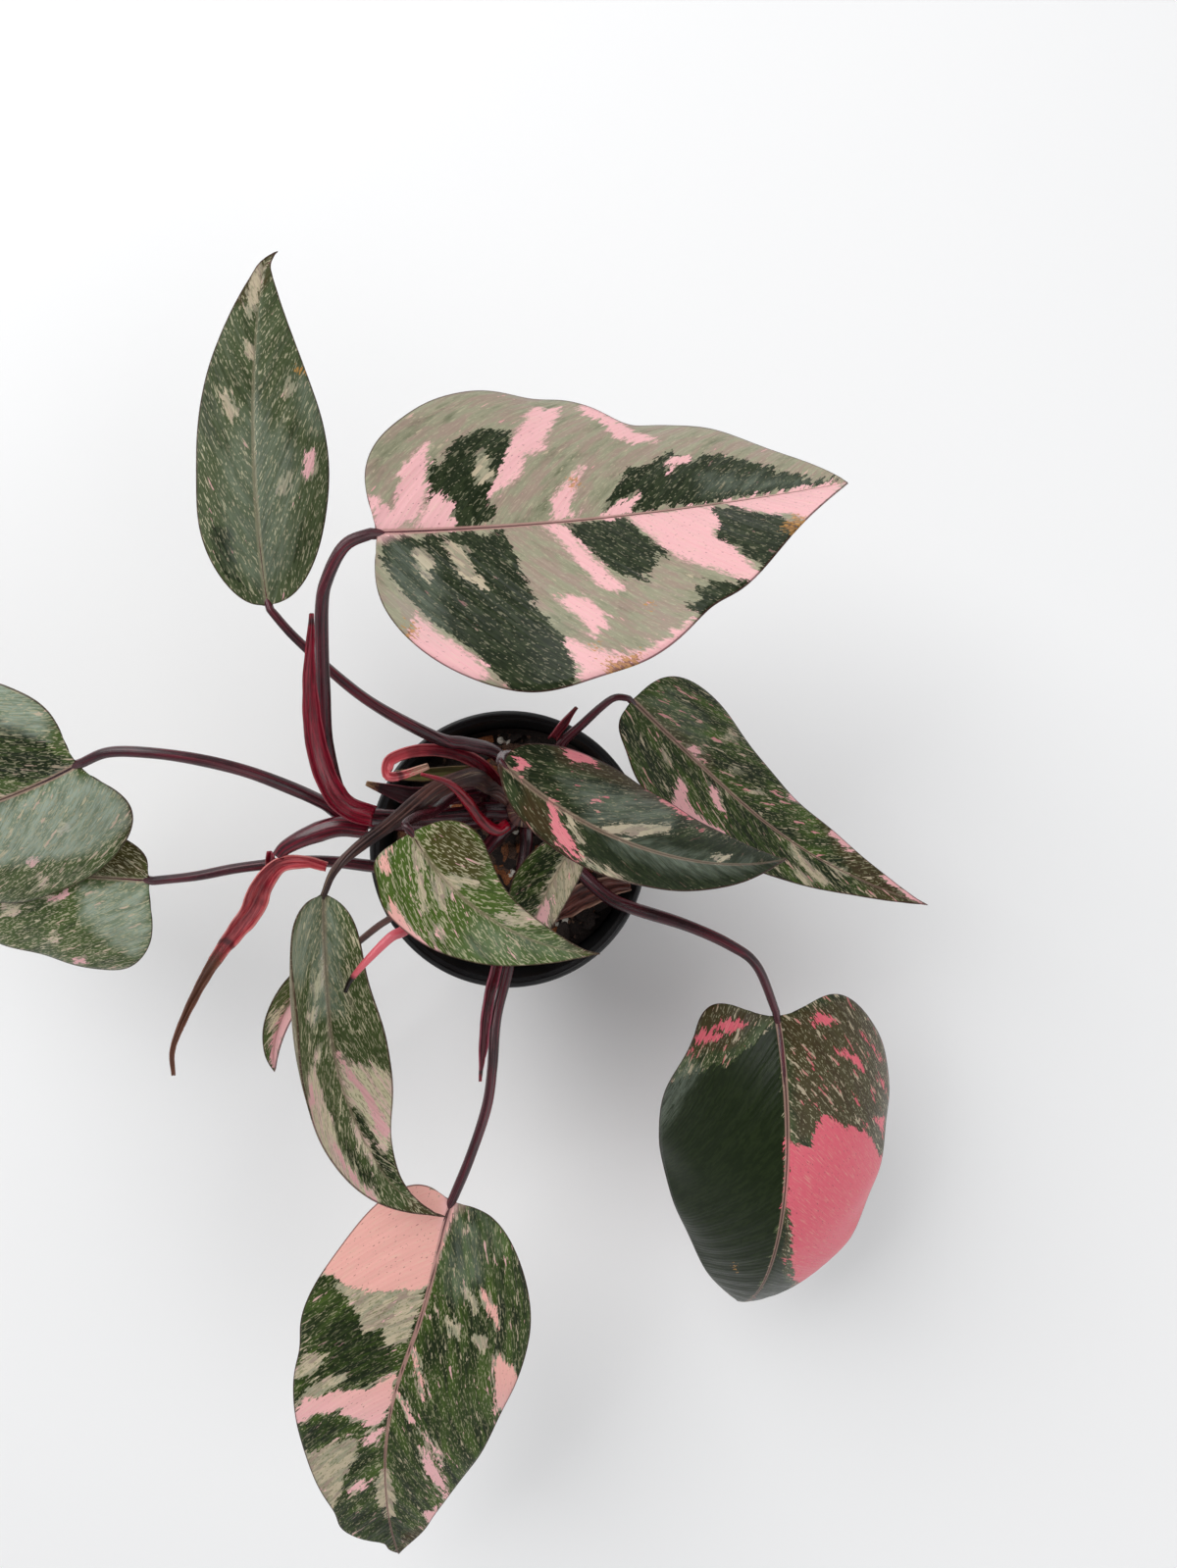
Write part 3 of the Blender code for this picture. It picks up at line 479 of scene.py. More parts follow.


# A blade starts at base and runs along heading, an angle from +X. It rises by pitch, and bends,
# droops, rolls and twists on its way to the tip. left and right are its half widths, widest is
# how far along they are reached, taper how sharp the tip is, lobe how far the base reaches back,
# fold and curl how much the halves rise, sweep how far the side veins lean forward.
# tone is the green from deep (0) to sage (1), lime how yellow it is, heat how red its pink is,
# specks and flecks how many there are, rib how pink the midrib is, calm how plain the dark parts
# are, the sheen strength how strong the pale painted sheen is, cream how creamy the pale parts are.
# Patches are outlines of (percent of the length, percent of the half width, left half positive).
# The sheen patches are where a pale reflection is painted on the blade.
leaves = {
    "leaf_01": dict(
        base=(-76, 84, 150), heading=97, bend=-11, pitch=6, droop=-22, roll=9, twist=6,
        length=125, left=20, right=24, widest=0.34, taper=1.26, lobe=3,
        fold=5, curl=-9, waves=(0.03, -0.04), sweep=(1.5, 1.8), dents=[(1, 0.35, 0.12, 0.07)],
        hook=(-50, 0.92),
        tone=0.42, lime=0.15, heat=0.1, specks=0.65, flecks=-0.05, rib=0.1, calm=0.3, paintedSheenStrength=0.22,
        pink=[[(34, -69), (40, -71), (41, -79), (36, -77)]],
        pale=[[(51, 34), (55, 53), (50, 42)], [(30, -35), (35, -46), (31, -42)], [(78, 25), (85, 50),
            (93, 50), (90, 30), (82, 30)], [(67, 5), (70, 16), (68, 15)], [(57, -55), (61, -65),
            (59, -66)]],
        dark=[[(5, 60), (20, 45), (24, 75), (10, 90)]],
        paintedSheen=[[(46, -98), (47, -80), (53, -70), (62, -67), (64, -80), (60, -98)], [(2, 0), (10, 60),
            (40, 50), (55, 0), (40, -60), (10, -50)]],
        warm=[[(80, 100), (84, 30), (90, -60), (100, -100), (100, 100)]],
        crisp=[[(63.5, -80), (65.5, -80), (65.5, -95), (64, -95)]]),
    "leaf_02": dict(
        base=(-33, 100, 188), heading=5, bend=4, pitch=-16, droop=23, roll=-10, twist=-44,
        length=146, left=54, right=58, widest=0.41, taper=0.86, lobe=11,
        fold=13, curl=-15, waves=(0.03, 0.02), sweep=(0.75, 0.65), dents=[(1, 0.575, 0.055, 0.13),
            (1, 0.45, 0.05, -0.05), (1, 0.78, 0.1, -0.04), (1, 0.12, 0.06, 0.03),
            (-1, 0.66, 0.05, 0.03)],
        tone=0.92, lime=0.1, heat=0.3, specks=0.5, flecks=-0.04, rib=0.8, calm=0.7, paintedSheenStrength=0.2,
        pink=[[(0, 0), (3, 0), (5, 12), (3, 60), (1.2, 95), (0.3, 60)], [(2, 8), (8, 10), (12.5, 38),
            (15, 68), (10, 63), (6, 35)], [(8, 3), (15, 2), (16.5, 18), (13.5, 28), (10, 12)],
            [(25, 20), (31, 32), (34, 47), (38, 53), (44, 88), (39, 88), (31, 50)], [(37, 2), (38, 15),
            (45, 36), (41, 12), (42, 2)], [(47, 0), (53, 3), (56, 15), (50, 7)], [(48, 92), (52, 100),
            (63, 76), (57, 74), (52, 84)], [(35, -2), (39, -5), (45, -38), (49, -56), (44, -50),
            (39, -20)], [(36, -52), (41, -55), (45, -70), (42, -76)], [(53, -1), (70, -2), (70.5, -30),
            (69, -42), (73, -65), (77, -97), (70, -82), (62, -50), (57, -25)], [(74, 0), (97, 3),
            (99.5, -20), (98, -90), (89, -98), (86, -60), (78, -20)], [(10, -80), (16, -84), (21, -90),
            (21, -100), (9, -100)], [(37, -78), (46, -93), (62, -96), (60, -100), (40, -100)],
            [(64, 38), (65, 50), (70, 50), (66, 46)]],
        pale=[[(14, -12), (17, -16), (21, -42), (17, -35)], [(8.5, -20), (11, -28), (11, -44),
            (9, -35)], [(23, 32), (26, 33), (26, 50), (24, 45)]],
        dark=[[(15.5, 2), (12.5, 22), (12, 42), (14, 56), (17, 50), (20, 62), (27, 68), (31, 68),
            (33, 56), (30, 33), (25, 20), (24, 2)], [(47, 1), (51, 20), (54, 32), (55, 42), (61, 50),
            (65, 60), (68, 50), (74, 58), (82, 50), (90, 40), (98, 20), (97, 3)], [(1, -5), (12, -5),
            (26, -3), (29, -30), (31, -55), (34.5, -68), (38, -88), (39, -95), (30, -98), (20, -85),
            (12, -75), (2, -60)], [(38.5, -3), (52, -2), (55, -20), (59, -40), (54, -53), (49, -48),
            (42, -20)], [(70, -5), (76, -8), (79, -30), (83, -50), (85, -75), (87, -98), (80, -98),
            (73, -70), (69, -45), (71, -35)], [(62, -88), (66, -80), (71, -90), (79, -95), (78, -100),
            (63, -97)]],
        paintedSheen=[[(2, -10), (5, -90), (15, -90), (12, -30)], [(70, 30), (95, 30), (90, 10), (70, 10)]],
        crisp=[[(42, 22), (44, 22), (44, 28), (42, 28)], [(53, -69), (55, -73), (53, -75)], [(43, -93),
            (51, -94), (50, -99), (44, -99)], [(83, -75), (87, -70), (89, -98), (85, -98)], [(8, -93),
            (10, -86), (10, -98)], [(41, -83), (43, -83), (42, -88)]]),
    "leaf_03": dict(
        base=(46, 54, 128), heading=-50, bend=33, pitch=-17, droop=2, roll=-22, twist=-7,
        length=145, left=26, right=21, widest=0.22, taper=1.14, lobe=0,
        fold=2, curl=-8, waves=(0.09, -0.05), sweep=(1.6, 1.8), dents=[(-1, 0.06, 0.06, 0.14)],
        ribDrift=(2.4, 0.25, 0.25),
        tone=0.22, lime=1.0, heat=0.45, specks=0.8, flecks=0.03, rib=0.5, calm=0.5, paintedSheenStrength=0.15,
        pink=[[(22, -38), (24, -42), (26, -60), (30, -70), (38, -65), (33, -77), (27, -88), (24, -75)],
            [(29, -3), (32, -8), (34.5, -30), (31, -20)], [(19, 16), (23, 13), (22, 25)], [(49, 100),
            (52, 90), (58, 98)], [(66, 100), (70, 85), (74, 82), (74, 100)], [(86, 75), (93, 50),
            (100, 0), (100, 100), (90, 100)]],
        pale=[[(69, 0), (74, 3), (75, -10), (71, -13)], [(55.5, -4), (59, -17), (69, -60), (69, -75),
            (64, -55), (57, -20)], [(60, -63), (64, -75), (65, -85), (61, -78)], [(41, 40), (45, 55),
            (42, 50)], [(26, 62), (30, 85), (27, 80)], [(14, -20), (17, -28), (16, -34)], [(32, 35),
            (35, 48), (33, 45)]],
        dark=[[(35, -5), (50, -2), (60, -50), (50, -90), (40, -60)]],
        paintedSheen=[[(2, 10), (5, 70), (20, 60), (25, 20)]],
        warm=[[(60, 100), (72, 40), (80, -20), (86, -100), (100, -100), (100, 100)], [(0, 10), (25, 30),
            (30, 5)]]),
    "leaf_04": dict(
        base=(4, 31, 177), heading=-43, bend=51, pitch=-5, droop=-38, roll=-21, twist=-13,
        length=116, left=25, right=13, widest=0.38, taper=1.15, lobe=7,
        fold=-2, curl=-8, waves=(0.02, 0.02), sweep=(1.6, 1.4), dents=[(-1, 0.04, 0.06, 0.18)],
        tone=0.15, lime=0.25, heat=0.75, specks=0.5, flecks=-0.03, rib=0.35, calm=0.85, paintedSheenStrength=0.3,
        pink=[[(16, 0), (18, -8), (21, -35), (25, -50), (31, -88), (25, -82), (19, -30)], [(14, 98),
            (24, 100), (26, 92), (19, 80)], [(43, 100), (55, 95), (66, 90), (60, 100)], [(4.5, 50),
            (6, 30), (5.5, 10), (4.5, 25)], [(27, 26), (30, 42), (28, 36)]],
        pale=[[(34, 5), (42, 12), (54, 40), (55, 48), (46, 33), (35, 13)], [(22, -1), (24, -10),
            (29, -50), (25, -30)], [(32, -82), (40, -84), (48, -97), (38, -95)], [(70, 13), (76, 20),
            (73, 18)]],
        dark=[[(30, 0), (55, 30), (90, 90), (100, 0), (90, -90), (50, -95), (33, -75)]],
        paintedSheen=[[(17, 45), (30, 60), (43, 75), (50, 90), (60, 90), (56, 50), (45, 25), (30, 5)],
            [(35, -5), (45, 10), (85, 12), (80, -30), (60, -40), (40, -25)]],
        warm=[[(8, -10), (15, -10), (30, -90), (15, -95)], [(10, 100), (15, 70), (70, 85), (80, 100)]]),
    "leaf_05": dict(
        base=(100, -61, 106), heading=-84, bend=-21, pitch=25, droop=-96, roll=-1, twist=-3,
        length=159, left=65, right=54, widest=0.35, taper=0.99, lobe=24,
        fold=-16, curl=-23, waves=(0.04, -0.02), sweep=(0.9, 1.1), dents=[(-1, 0.13, 0.07, 0.09),
            (1, 0.14, 0.07, -0.05), (1, 0.82, 0.1, -0.08)],
        tone=0.3, lime=0.35, heat=1.0, specks=0.55, flecks=0.05, rib=0.6, calm=1, paintedSheenStrength=0.25,
        pink=[[(28, 0), (31, 12), (24, 25), (30, 42), (33, 60), (38, 72), (46, 90), (51, 100),
            (88, 100), (86, 70), (77, 38), (65, 20), (50, 8), (42, 1)], [(12, 45), (19, 65), (15, 60)],
            [(32, 72), (40, 92), (35, 90)], [(22, 78), (27, 90), (24, 87)], [(11, 76), (20, 90),
            (15, 84)], [(4.5, -48), (7, -60), (8, -80), (5.5, -72)], [(9, -68), (11, -82), (12, -97),
            (9.5, -88)], [(5, 42), (6.5, 62), (4.5, 55)]],
        dark=[[(0, -2), (45, -1), (80, 0), (100, 0), (100, -100), (24, -100), (18, -80), (13, -50),
            (6, -25)], [(46, 0), (60, 6), (75, 24), (86, 60), (91, 100), (100, 100), (100, 0)]],
        paintedSheen=[[(17, -76), (30, -87), (44, -98), (30, -100), (15, -95)], [(17, -76), (30, -87),
            (44, -98), (30, -100), (15, -95)]],
        warm=[[(0, 5), (28, 5), (35, 60), (50, 100), (0, 100)], [(0, -30), (10, -50), (16, -100),
            (0, -100)], [(42, 2), (60, 12), (75, 30), (65, 10), (50, 0)]],
        crisp=[[(69, -32), (73, -33), (71, -34)]]),
    "leaf_06": dict(
        base=(-19, -126, 115), heading=-115, bend=32, pitch=7, droop=-39, roll=-1, twist=-7,
        length=160, left=46, right=38, widest=0.38, taper=1.03, lobe=10,
        fold=3, curl=-9, waves=(0.03, 0.02), sweep=(1.6, 0.7), dents=[(-1, 0.2, 0.1, 0.08),
            (-1, 0.42, 0.04, 0.04), (-1, 0.87, 0.05, -0.12), (-1, 0.94, 0.02, 0.07),
            (1, 0.93, 0.05, -0.05)], ribDrift=(4.5, 0.25, 0.2),
        tone=0.24, lime=0.9, heat=-0.15, specks=0.75, flecks=0.0, rib=0.75, calm=0.6, paintedSheenStrength=0.2,
        pink=[[(0, 10), (8, 10), (20, 5), (22.5, -20), (25, -45), (26, -70), (25, -100), (0, -100)],
            [(42, 0), (50, 0), (55, -10), (54, -35), (52, -50), (54, -75), (58, -98), (52, -88),
            (49, -55), (46, -20)], [(57, -7), (60, -10), (60.5, -24), (58, -16)], [(56, 30), (62, 47),
            (68, 63), (63, 53)], [(62, 36), (70, 48), (75, 68), (83, 97), (78, 85), (70, 60)],
            [(34, 76), (42, 83), (52, 95), (46, 99), (38, 93)], [(86, 82), (91, 100), (83, 100)],
            [(19, 57), (24, 66), (27, 73), (22, 68)], [(36, 12), (47, 28), (42, 22)], [(47, 8),
            (53, 20), (50, 16)], [(71, -28), (73.5, -33), (73.5, -52), (71.5, -42)]],
        pale=[[(20, 4), (33, 2), (34.5, -10), (31, -22), (33, -35), (29, -50), (27, -80), (24, -30)],
            [(59.5, -38), (63, -34), (67, -50), (74, -72), (78, -95), (67, -100), (63, -70)],
            [(42, -76), (46, -86), (47, -96), (43, -90)], [(45, -53), (48, -60), (53, -93), (49, -80)],
            [(69, 2), (76, 10), (84, 3), (76, -10), (71, -8)], [(19, 43), (23, 52), (21, 52)],
            [(26, 30), (30, 40), (28, 40)], [(30, 55), (32, 66), (30, 62)]],
        dark=[[(33, -10), (41, -5), (47, -50), (40, -80), (30, -60)], [(55, -30), (60, -65), (62, -95),
            (57, -90)], [(80, 0), (90, 40), (100, 0), (92, -80), (82, -80)]],
        paintedSheen=[[(2, 25), (5, 60), (14, 60), (22, 35), (15, 15)], [(1, 70), (10, 80), (2, 95)]],
        warm=[[(90, 100), (92, 20), (100, 0), (100, 100)]]),
    "leaf_07": dict(
        base=(-57, -12, 151), heading=-98, bend=45, pitch=-4, droop=-19, roll=-37, twist=10,
        length=135, left=19, right=33, widest=0.28, taper=1.51, lobe=0,
        fold=20, curl=27, waves=(-0.17, 0.05), sweep=(1.9, 1.5), hook=(30, 0.76),
        ribDrift=(1.8, 0.2, 0.2),
        tone=0.5, lime=0.4, heat=0.1, specks=1.0, flecks=0.02, rib=0.25, calm=0.4, paintedSheenStrength=0.6, cream=0.9,
        pink=[[(42, 10), (50, 26), (58, 42), (66, 62), (69, 82), (65, 88), (60, 60), (50, 34)],
            [(43, -48), (46, -60), (48, -92), (45, -80)], [(60, -66), (72, -76), (78, -92), (68, -80)]],
        pale=[[(44, 10), (46, 45), (47, 70), (52, 97), (60, 100), (70, 95), (71, 55), (66, 50),
            (60, 33), (55, 10), (50, 4)], [(40, -37), (46, -40), (55, -45), (62, -62), (70, -70),
            (78, -85), (78, -97), (50, -100), (45, -80)], [(17, 4), (22, 1), (25, -9), (22, -13)],
            [(28, -13), (30, -20), (28.5, -25)], [(37, -16), (40, -23), (38.5, -29)], [(60, -4),
            (68, -1), (74, -10), (66, -12)]],
        dark=[[(56, 10), (62, 38), (72, 50), (76, 90), (84, 50), (75, 0), (60, 2)], [(60, -40),
            (75, -30), (80, -60), (70, -68)]],
        paintedSheen=[[(0, -10), (10, -10), (20, -30), (15, -80), (0, -80)], [(2, 50), (30, 30), (30, -20),
            (2, 0)]],
        warm=[[(88, 100), (88, -100), (100, -100), (100, 100)]]),
    "leaf_08": dict(
        base=(-26, 9, 165), heading=-62, bend=56, pitch=-4, droop=-24, roll=-1, twist=0,
        length=80, left=16, right=22, widest=0.17, taper=1.32, lobe=0,
        fold=6, curl=-8, waves=(0.11, -0.03), sweep=(1.5, 1.5), dents=[(-1, 0.08, 0.07, 0.13)],
        tone=0.42, lime=1.0, heat=0.0, specks=1.0, flecks=0.0, rib=0.2, calm=0.5, paintedSheenStrength=0.22,
        pink=[[(18, -84), (23, -88), (45, -98), (20, -100)], [(34, -67), (37, -76), (36, -80)],
            [(1, -68), (6, -76), (3, -85)]],
        pale=[[(22, 2), (25, 18), (32, 42), (29, 20), (27, 2)], [(50, 24), (56, 33), (63, 52),
            (57, 40)], [(17, -26), (21, -36), (26, -55), (21, -42)], [(20, -4), (26, -12), (30, -28),
            (24, -20)], [(5, -5), (13, -16), (12, -22)], [(56, 95), (60, 70), (68, 95)]],
        paintedSheen=[[(45, -5), (65, -15), (75, -60), (60, -85), (45, -80)], [(50, 10), (85, 50), (90, -50),
            (60, -60)]],
        warm=[[(0, 90), (5, 10), (20, 5), (35, 50), (30, 95)], [(80, 100), (86, 20), (92, -70),
            (100, -100), (100, 100)]]),
    "leaf_09": dict(
        base=(29, 9, 140), heading=-126, bend=22, pitch=-6, droop=-27, roll=-3, twist=-1,
        length=55, left=8, right=12, widest=0.43, taper=0.88, lobe=2,
        fold=7, curl=-6, waves=(0.04, -0.06), sweep=(1.0, 1.0),
        tone=0.24, lime=0.7, heat=0.3, specks=0.85, flecks=-0.04, rib=0.2, calm=0.3, paintedSheenStrength=0.2,
        pink=[[(50, 30), (56, 12), (72, 2), (90, 50), (62, 48)]],
        pale=[[(0, 2), (20, 0), (45, 3), (70, 2), (80, 90), (60, 95), (30, 90), (10, 80)]],
        dark=[[(0, -2), (65, -2), (90, -60), (50, -80), (10, -70)]]),
    "leaf_10": dict(
        base=(-58, -36, 95), heading=207, bend=60, pitch=-1, droop=-34, roll=0, twist=0,
        length=72, left=6, right=8, widest=0.4, taper=0.88, lobe=0,
        fold=35, curl=10, waves=(0, 0), sweep=(1.5, 1.5),
        tone=0.5, lime=0.8, heat=0.0, specks=0.6, flecks=0.06, rib=0.2, calm=0.3, paintedSheenStrength=0.2, cream=1,
        pink=[[(35, 2), (45, 100), (100, 100), (100, -60), (85, -30), (70, -8), (55, 0)]],
        pale=[[(50, -20), (66, -30), (68, -60), (58, -50)]]),
    "leaf_11": dict(
        base=(-138, 31, 152), heading=205, bend=-31, pitch=-15, droop=-11, roll=-28, twist=-1,
        length=136, left=43, right=46, widest=0.36, taper=0.96, lobe=15,
        fold=3, curl=-13, waves=(-0.02, 0.03), sweep=(1.4, 1.4),
        tone=0.45, lime=0.6, heat=0.15, specks=1.0, flecks=0.02, rib=0.55, calm=0.4, paintedSheenStrength=0.85,
        cream=0.6,
        pink=[[(31, 58), (33, 61), (32, 63)], [(62, -20), (70, -40), (72, -70), (66, -50)]],
        pale=[[(34, 76), (39, 90), (36, 86)], [(16, 44), (20, 50), (17, 50)], [(50, 10), (60, 30),
            (66, 55), (57, 35)], [(40, -10), (50, -30), (52, -50), (44, -30)]],
        dark=[[(2, -5), (15, -5), (30, -40), (20, -80), (5, -50)]],
        paintedSheen=[[(1, 90), (10, 90), (20, 80), (28, 62), (60, 40), (85, 10), (30, 4), (3, 4)], [(1, 90),
            (10, 90), (20, 80), (28, 62), (60, 40), (85, 10), (30, 4), (3, 4)], [(5, -55), (14, -60),
            (14, -100), (4, -95)]],
        warm=[[(2, 100), (2, 92), (12, 92), (18, 100)]]),
    "leaf_12": dict(
        base=(-127, -10, 119), heading=177, bend=2, pitch=-9, droop=-18, roll=-12, twist=-3,
        length=119, left=41, right=20, widest=0.35, taper=0.84, lobe=5,
        fold=4, curl=-14, waves=(0.07, -0.01), sweep=(1.5, 1.3),
        tone=0.43, lime=0.7, heat=0.2, specks=1.0, flecks=0.02, rib=0.3, calm=0.4, paintedSheenStrength=0.75,
        cream=0.6,
        pink=[[(30, 84), (35, 90), (36, 95), (32, 92)], [(29, 17), (35, 26), (32, 24)]],
        pale=[[(48, 34), (50, 48), (56, 52), (53, 38)], [(34, 5), (35, 20), (38.5, 20), (37, 3)],
            [(36, 60), (42, 74), (38, 70)], [(70, 20), (78, 50), (73, 40)]],
        paintedSheen=[[(1, 5), (1, 95), (12, 90), (25, 40), (22, 8)], [(14, -95), (20, -50), (35, -38),
            (60, -50), (60, -100)]],
        warm=[[(0, -3), (19, -5), (15, -40), (12, -80), (10, -100), (0, -100)]]),
}
bladeFinish = {"rows": 130, "columns": 64, "thickness": 0.5,
               "quilt": 0.22, "veinPitch": 2.42, "groove": 0.45, "ripple": 0.8, "ripples": 4.3,
               "fullSize": 40}


def bladeFrame(leaf, along):
    # directions of the midrib, of the side and of the face at a distance along the leaf: the
    # heading and pitch turn evenly from base to tip, hook (angle, from where) turns the tip
    # further, and roll turns side and face round the midrib
    t = np.clip(along / leaf["length"], 0, 1)
    turned, turnFrom = leaf.get("hook", (0, 0.9))
    hook = turned * np.clip((t - turnFrom) / (1 - turnFrom), 0, 1)
    aheadX, aheadY = turn(leaf["heading"] + leaf["bend"] * t + hook)
    level, rise = turn(leaf["pitch"] + leaf["droop"] * t)
    ahead = np.stack([level * aheadX, level * aheadY, rise], axis=-1)
    across = np.stack([-aheadY, aheadX, 0 * aheadX], axis=-1)
    up = np.cross(ahead, across)
    c, s = turn(leaf["roll"] + leaf["twist"] * t)
    side = across * c[..., None] + up * s[..., None]
    face = up * c[..., None] - across * s[..., None]
    return ahead, side, face


def bladeFlat(leaf, v, u):
    # the blade laid flat, as millimetres out from the midrib and along it: the half width rises
    # as a power of v up to widest and falls as a power of 1 - v after it, less a bell-shaped
    # dent (side, place along the length, width there, depth as a share of the half width);
    # the lobes reach back as the cube of 1 - v
    widest, taper = leaf["widest"], leaf["taper"]
    swell = taper * widest / (1 - widest)
    width = (v / widest) ** swell * ((1 - v) / (1 - widest)) ** taper
    half = np.where(u > 0, leaf["left"], leaf["right"])
    wave = np.where(u > 0, leaf["waves"][0], leaf["waves"][1])
    reach = half * width * (1 + wave * np.sin(3 * np.pi * v))
    for side, centre, spread, depth in leaf.get("dents", []):
        reach = reach - depth * half * np.exp(-((v - centre) / spread) ** 2) * (u * side > 0)
    reach = np.maximum(reach, 0)
    back = leaf["lobe"] * (1 - v) ** 3 * (1 - np.exp(-v / 0.03)) * np.abs(u) ** 1.3
    return u * reach, leaf["length"] * v - back, reach


def bladePoints(leaf, v, u, lift=0.0):
    # the flat blade carried along the bent midrib, each half raised by fold plus curl times its
    # distance from the midrib, and lift added along the face
    out, along = bladeFlat(leaf, v, u)[:2]
    steps = np.linspace(0, leaf["length"], 60)
    ahead = bladeFrame(leaf, steps)[0]
    moves = (ahead[1:] + ahead[:-1]) / 2 * (steps[1] - steps[0])
    rib = np.concatenate([[[0, 0, 0]], np.cumsum(moves, axis=0)])
    onRib = np.clip(along, 0, leaf["length"])
    ahead, side, face = bladeFrame(leaf, along)
    centre = np.stack([np.interp(onRib, steps, rib[:, k]) for k in range(3)], axis=-1)
    centre = centre + ahead * (along - onRib)[..., None] + np.array(leaf["base"])
    distance = np.abs(out) / ((leaf["left"] + leaf["right"]) / 2)
    c, s = turn(leaf["fold"] + leaf["curl"] * distance)
    return centre + side * (out * c)[..., None] + face * (np.abs(out) * s + lift)[..., None]


def insideOutline(px, py, outline):
    # distance from each point to the nearest side of an outline, positive where a line from the
    # point crosses the outline an odd number of times
    corners = np.array(outline, float)
    ends = np.roll(corners, -1, axis=0)
    best = np.full(px.shape, 1e9)
    crossings = np.zeros(px.shape, int)
    for (ax, ay), (bx, by) in zip(corners, ends):
        ex, ey = bx - ax, by - ay
        t = np.clip(((px - ax) * ex + (py - ay) * ey) / (ex * ex + ey * ey + 1e-9), 0, 1)
        best = np.minimum(best, np.hypot(px - ax - t * ex, py - ay - t * ey))
        spans = (ay > py) != (by > py)
        crossings += spans & (px < ex * (py - ay) / (ey + 1e-12) + ax)
    return np.where(crossings % 2 == 1, best, -best)


def patchField(leaf, patches, out, along):
    # the largest inside distance of all patches; each side is cut in nine so that it follows
    # the blade's curves, and corners near the rim are pushed past it
    field = np.full(out.shape, -12.0)
    for patch in patches:
        start = np.array(patch, float) / 100
        start[:, 1] = np.where(np.abs(start[:, 1]) > 0.96, 1.1 * start[:, 1], start[:, 1])
        share = np.linspace(0, 1, 9, endpoint=False)[None, :, None]
        end = np.roll(start, -1, axis=0)
        corners = (start[:, None] * (1 - share) + end[:, None] * share).reshape(-1, 2)
        flat = bladeFlat(leaf, np.clip(corners[:, 0], 0.001, 0.999), corners[:, 1])[:2]
        field = np.maximum(field, insideOutline(out, along, np.stack(flat, axis=1)))
    return np.clip(field, -12, 12)


def makeBlade(name, leaf, number, materials):
    # a grid over (v, u), closer near the base and the midrib, lifted by waves between the side
    # veins, sunk along the midrib and rippled towards the rim
    finish = bladeFinish
    rows, columns = finish["rows"], finish["columns"]
    v = np.linspace(0, 1, rows)[:, None] ** 1.45
    u = np.linspace(-1, 1, columns + 1)[None, :]
    u = np.sign(u) * (0.55 * np.abs(u) + 0.45 * np.abs(u) ** 2)
    v, u = np.broadcast_arrays(v, u)
    out, along, reach = bladeFlat(leaf, v, u)
    # side veins sweep forward from the midrib, steeper towards the rim
    sway, middleAt, reachOfSway = leaf.get("ribDrift", (0, 0.5, 1))
    out = out - sway * np.exp(-((v - middleAt) / reachOfSway) ** 2) * (1 - np.exp(-v / 0.05))
    slope = np.where(out > 0, leaf["sweep"][0], leaf["sweep"][1])
    half = np.where(u > 0, leaf["left"], leaf["right"])
    stretch = np.sqrt(1 + slope ** 2)
    across = (along - slope * (np.abs(out) + 0.4 * out ** 2 / half)) / stretch
    size = (leaf["left"] + leaf["right"]) / 2
    middle = np.abs(u) * (1 - np.abs(u)) * 4
    veins = -np.cos(2 * np.pi * across / finish["veinPitch"] / 3)
    quilt = finish["quilt"] * min(1, size / finish["fullSize"]) * middle * veins
    channel = np.exp(-(out / (0.6 + 1.2 * (1 - v))) ** 2)
    groove = -finish["groove"] * channel * np.sqrt(np.clip(1 - v, 0, 1))
    turns = v * finish["ripples"] + number * 0.37 + 0.25 * np.sign(u)
    ripple = finish["ripple"] * size / finish["fullSize"] * np.abs(u) ** 3 * np.sin(np.pi * v)
    ripple = ripple * np.sin(2 * np.pi * turns)
    lift = quilt + groove + ripple
    points = bladePoints(leaf, v, u, lift)
    kinds = ("pink", "pale", "dark")
    flatOut = bladeFlat(leaf, v, u)[0]
    fields = [patchField(leaf, leaf.get(kind, []), flatOut, along) for kind in kinds]
    # how fast each field changes one millimetre further along the veins
    rise = slope * (1 + 0.8 * np.abs(out) / half)
    pace = np.sqrt(1 + rise ** 2)
    further = [patchField(leaf, leaf.get(kind, []), flatOut + np.sign(out) / pace, along + rise / pace)
               for kind in kinds]
    steep = [np.abs(there - here) for here, there in zip(fields, further)]
    # fields for the painted sheen, the olive-brown parts and the dry marks
    extras = [patchField(leaf, leaf.get(kind, []), flatOut, along) for kind in ("paintedSheen", "warm", "crisp")]
    flat = np.ones(v.size)
    signed = across + np.where(out > 0, 400.0, 0.0)
    values = {
        "place": np.stack([signed.ravel(), (np.abs(out) * stretch).ravel(), flat * number], axis=1),
        "fields": np.stack([f.ravel() for f in fields], axis=1),
        "looks": np.stack([flat * leaf["tone"], flat * leaf["specks"], flat * leaf["rib"]], axis=1),
        "reach": np.stack([np.abs(out).ravel(), ((1 - np.abs(u)) * reach).ravel(), v.ravel()], axis=1),
        "steep": np.stack([f.ravel() for f in steep], axis=1),
        "extras": np.stack([f.ravel() for f in extras], axis=1),
        "moods": np.stack([flat * leaf["calm"], flat * leaf["paintedSheenStrength"], flat * leaf.get("cream", 0)], axis=1),
        "hues": np.stack([flat * leaf["heat"], flat * leaf["lime"], flat * leaf["flecks"]], axis=1),
    }
    faces = gridFaces(rows, columns + 1)[:, ::-1]
    piece = meshPiece(name + "Blade", points.reshape(-1, 3), faces, materials, values)
    thicken(piece, finish["thickness"], underside=1)
    finishPiece(piece, name)


leafTop = leafMaterial("leafTop", 0)
leafUnder = leafMaterial("leafUnderside", 1)
for number, (name, leaf) in enumerate(leaves.items(), 1):
    makeBlade(name, leaf, number, [leafTop, leafUnder])
print("blades made")
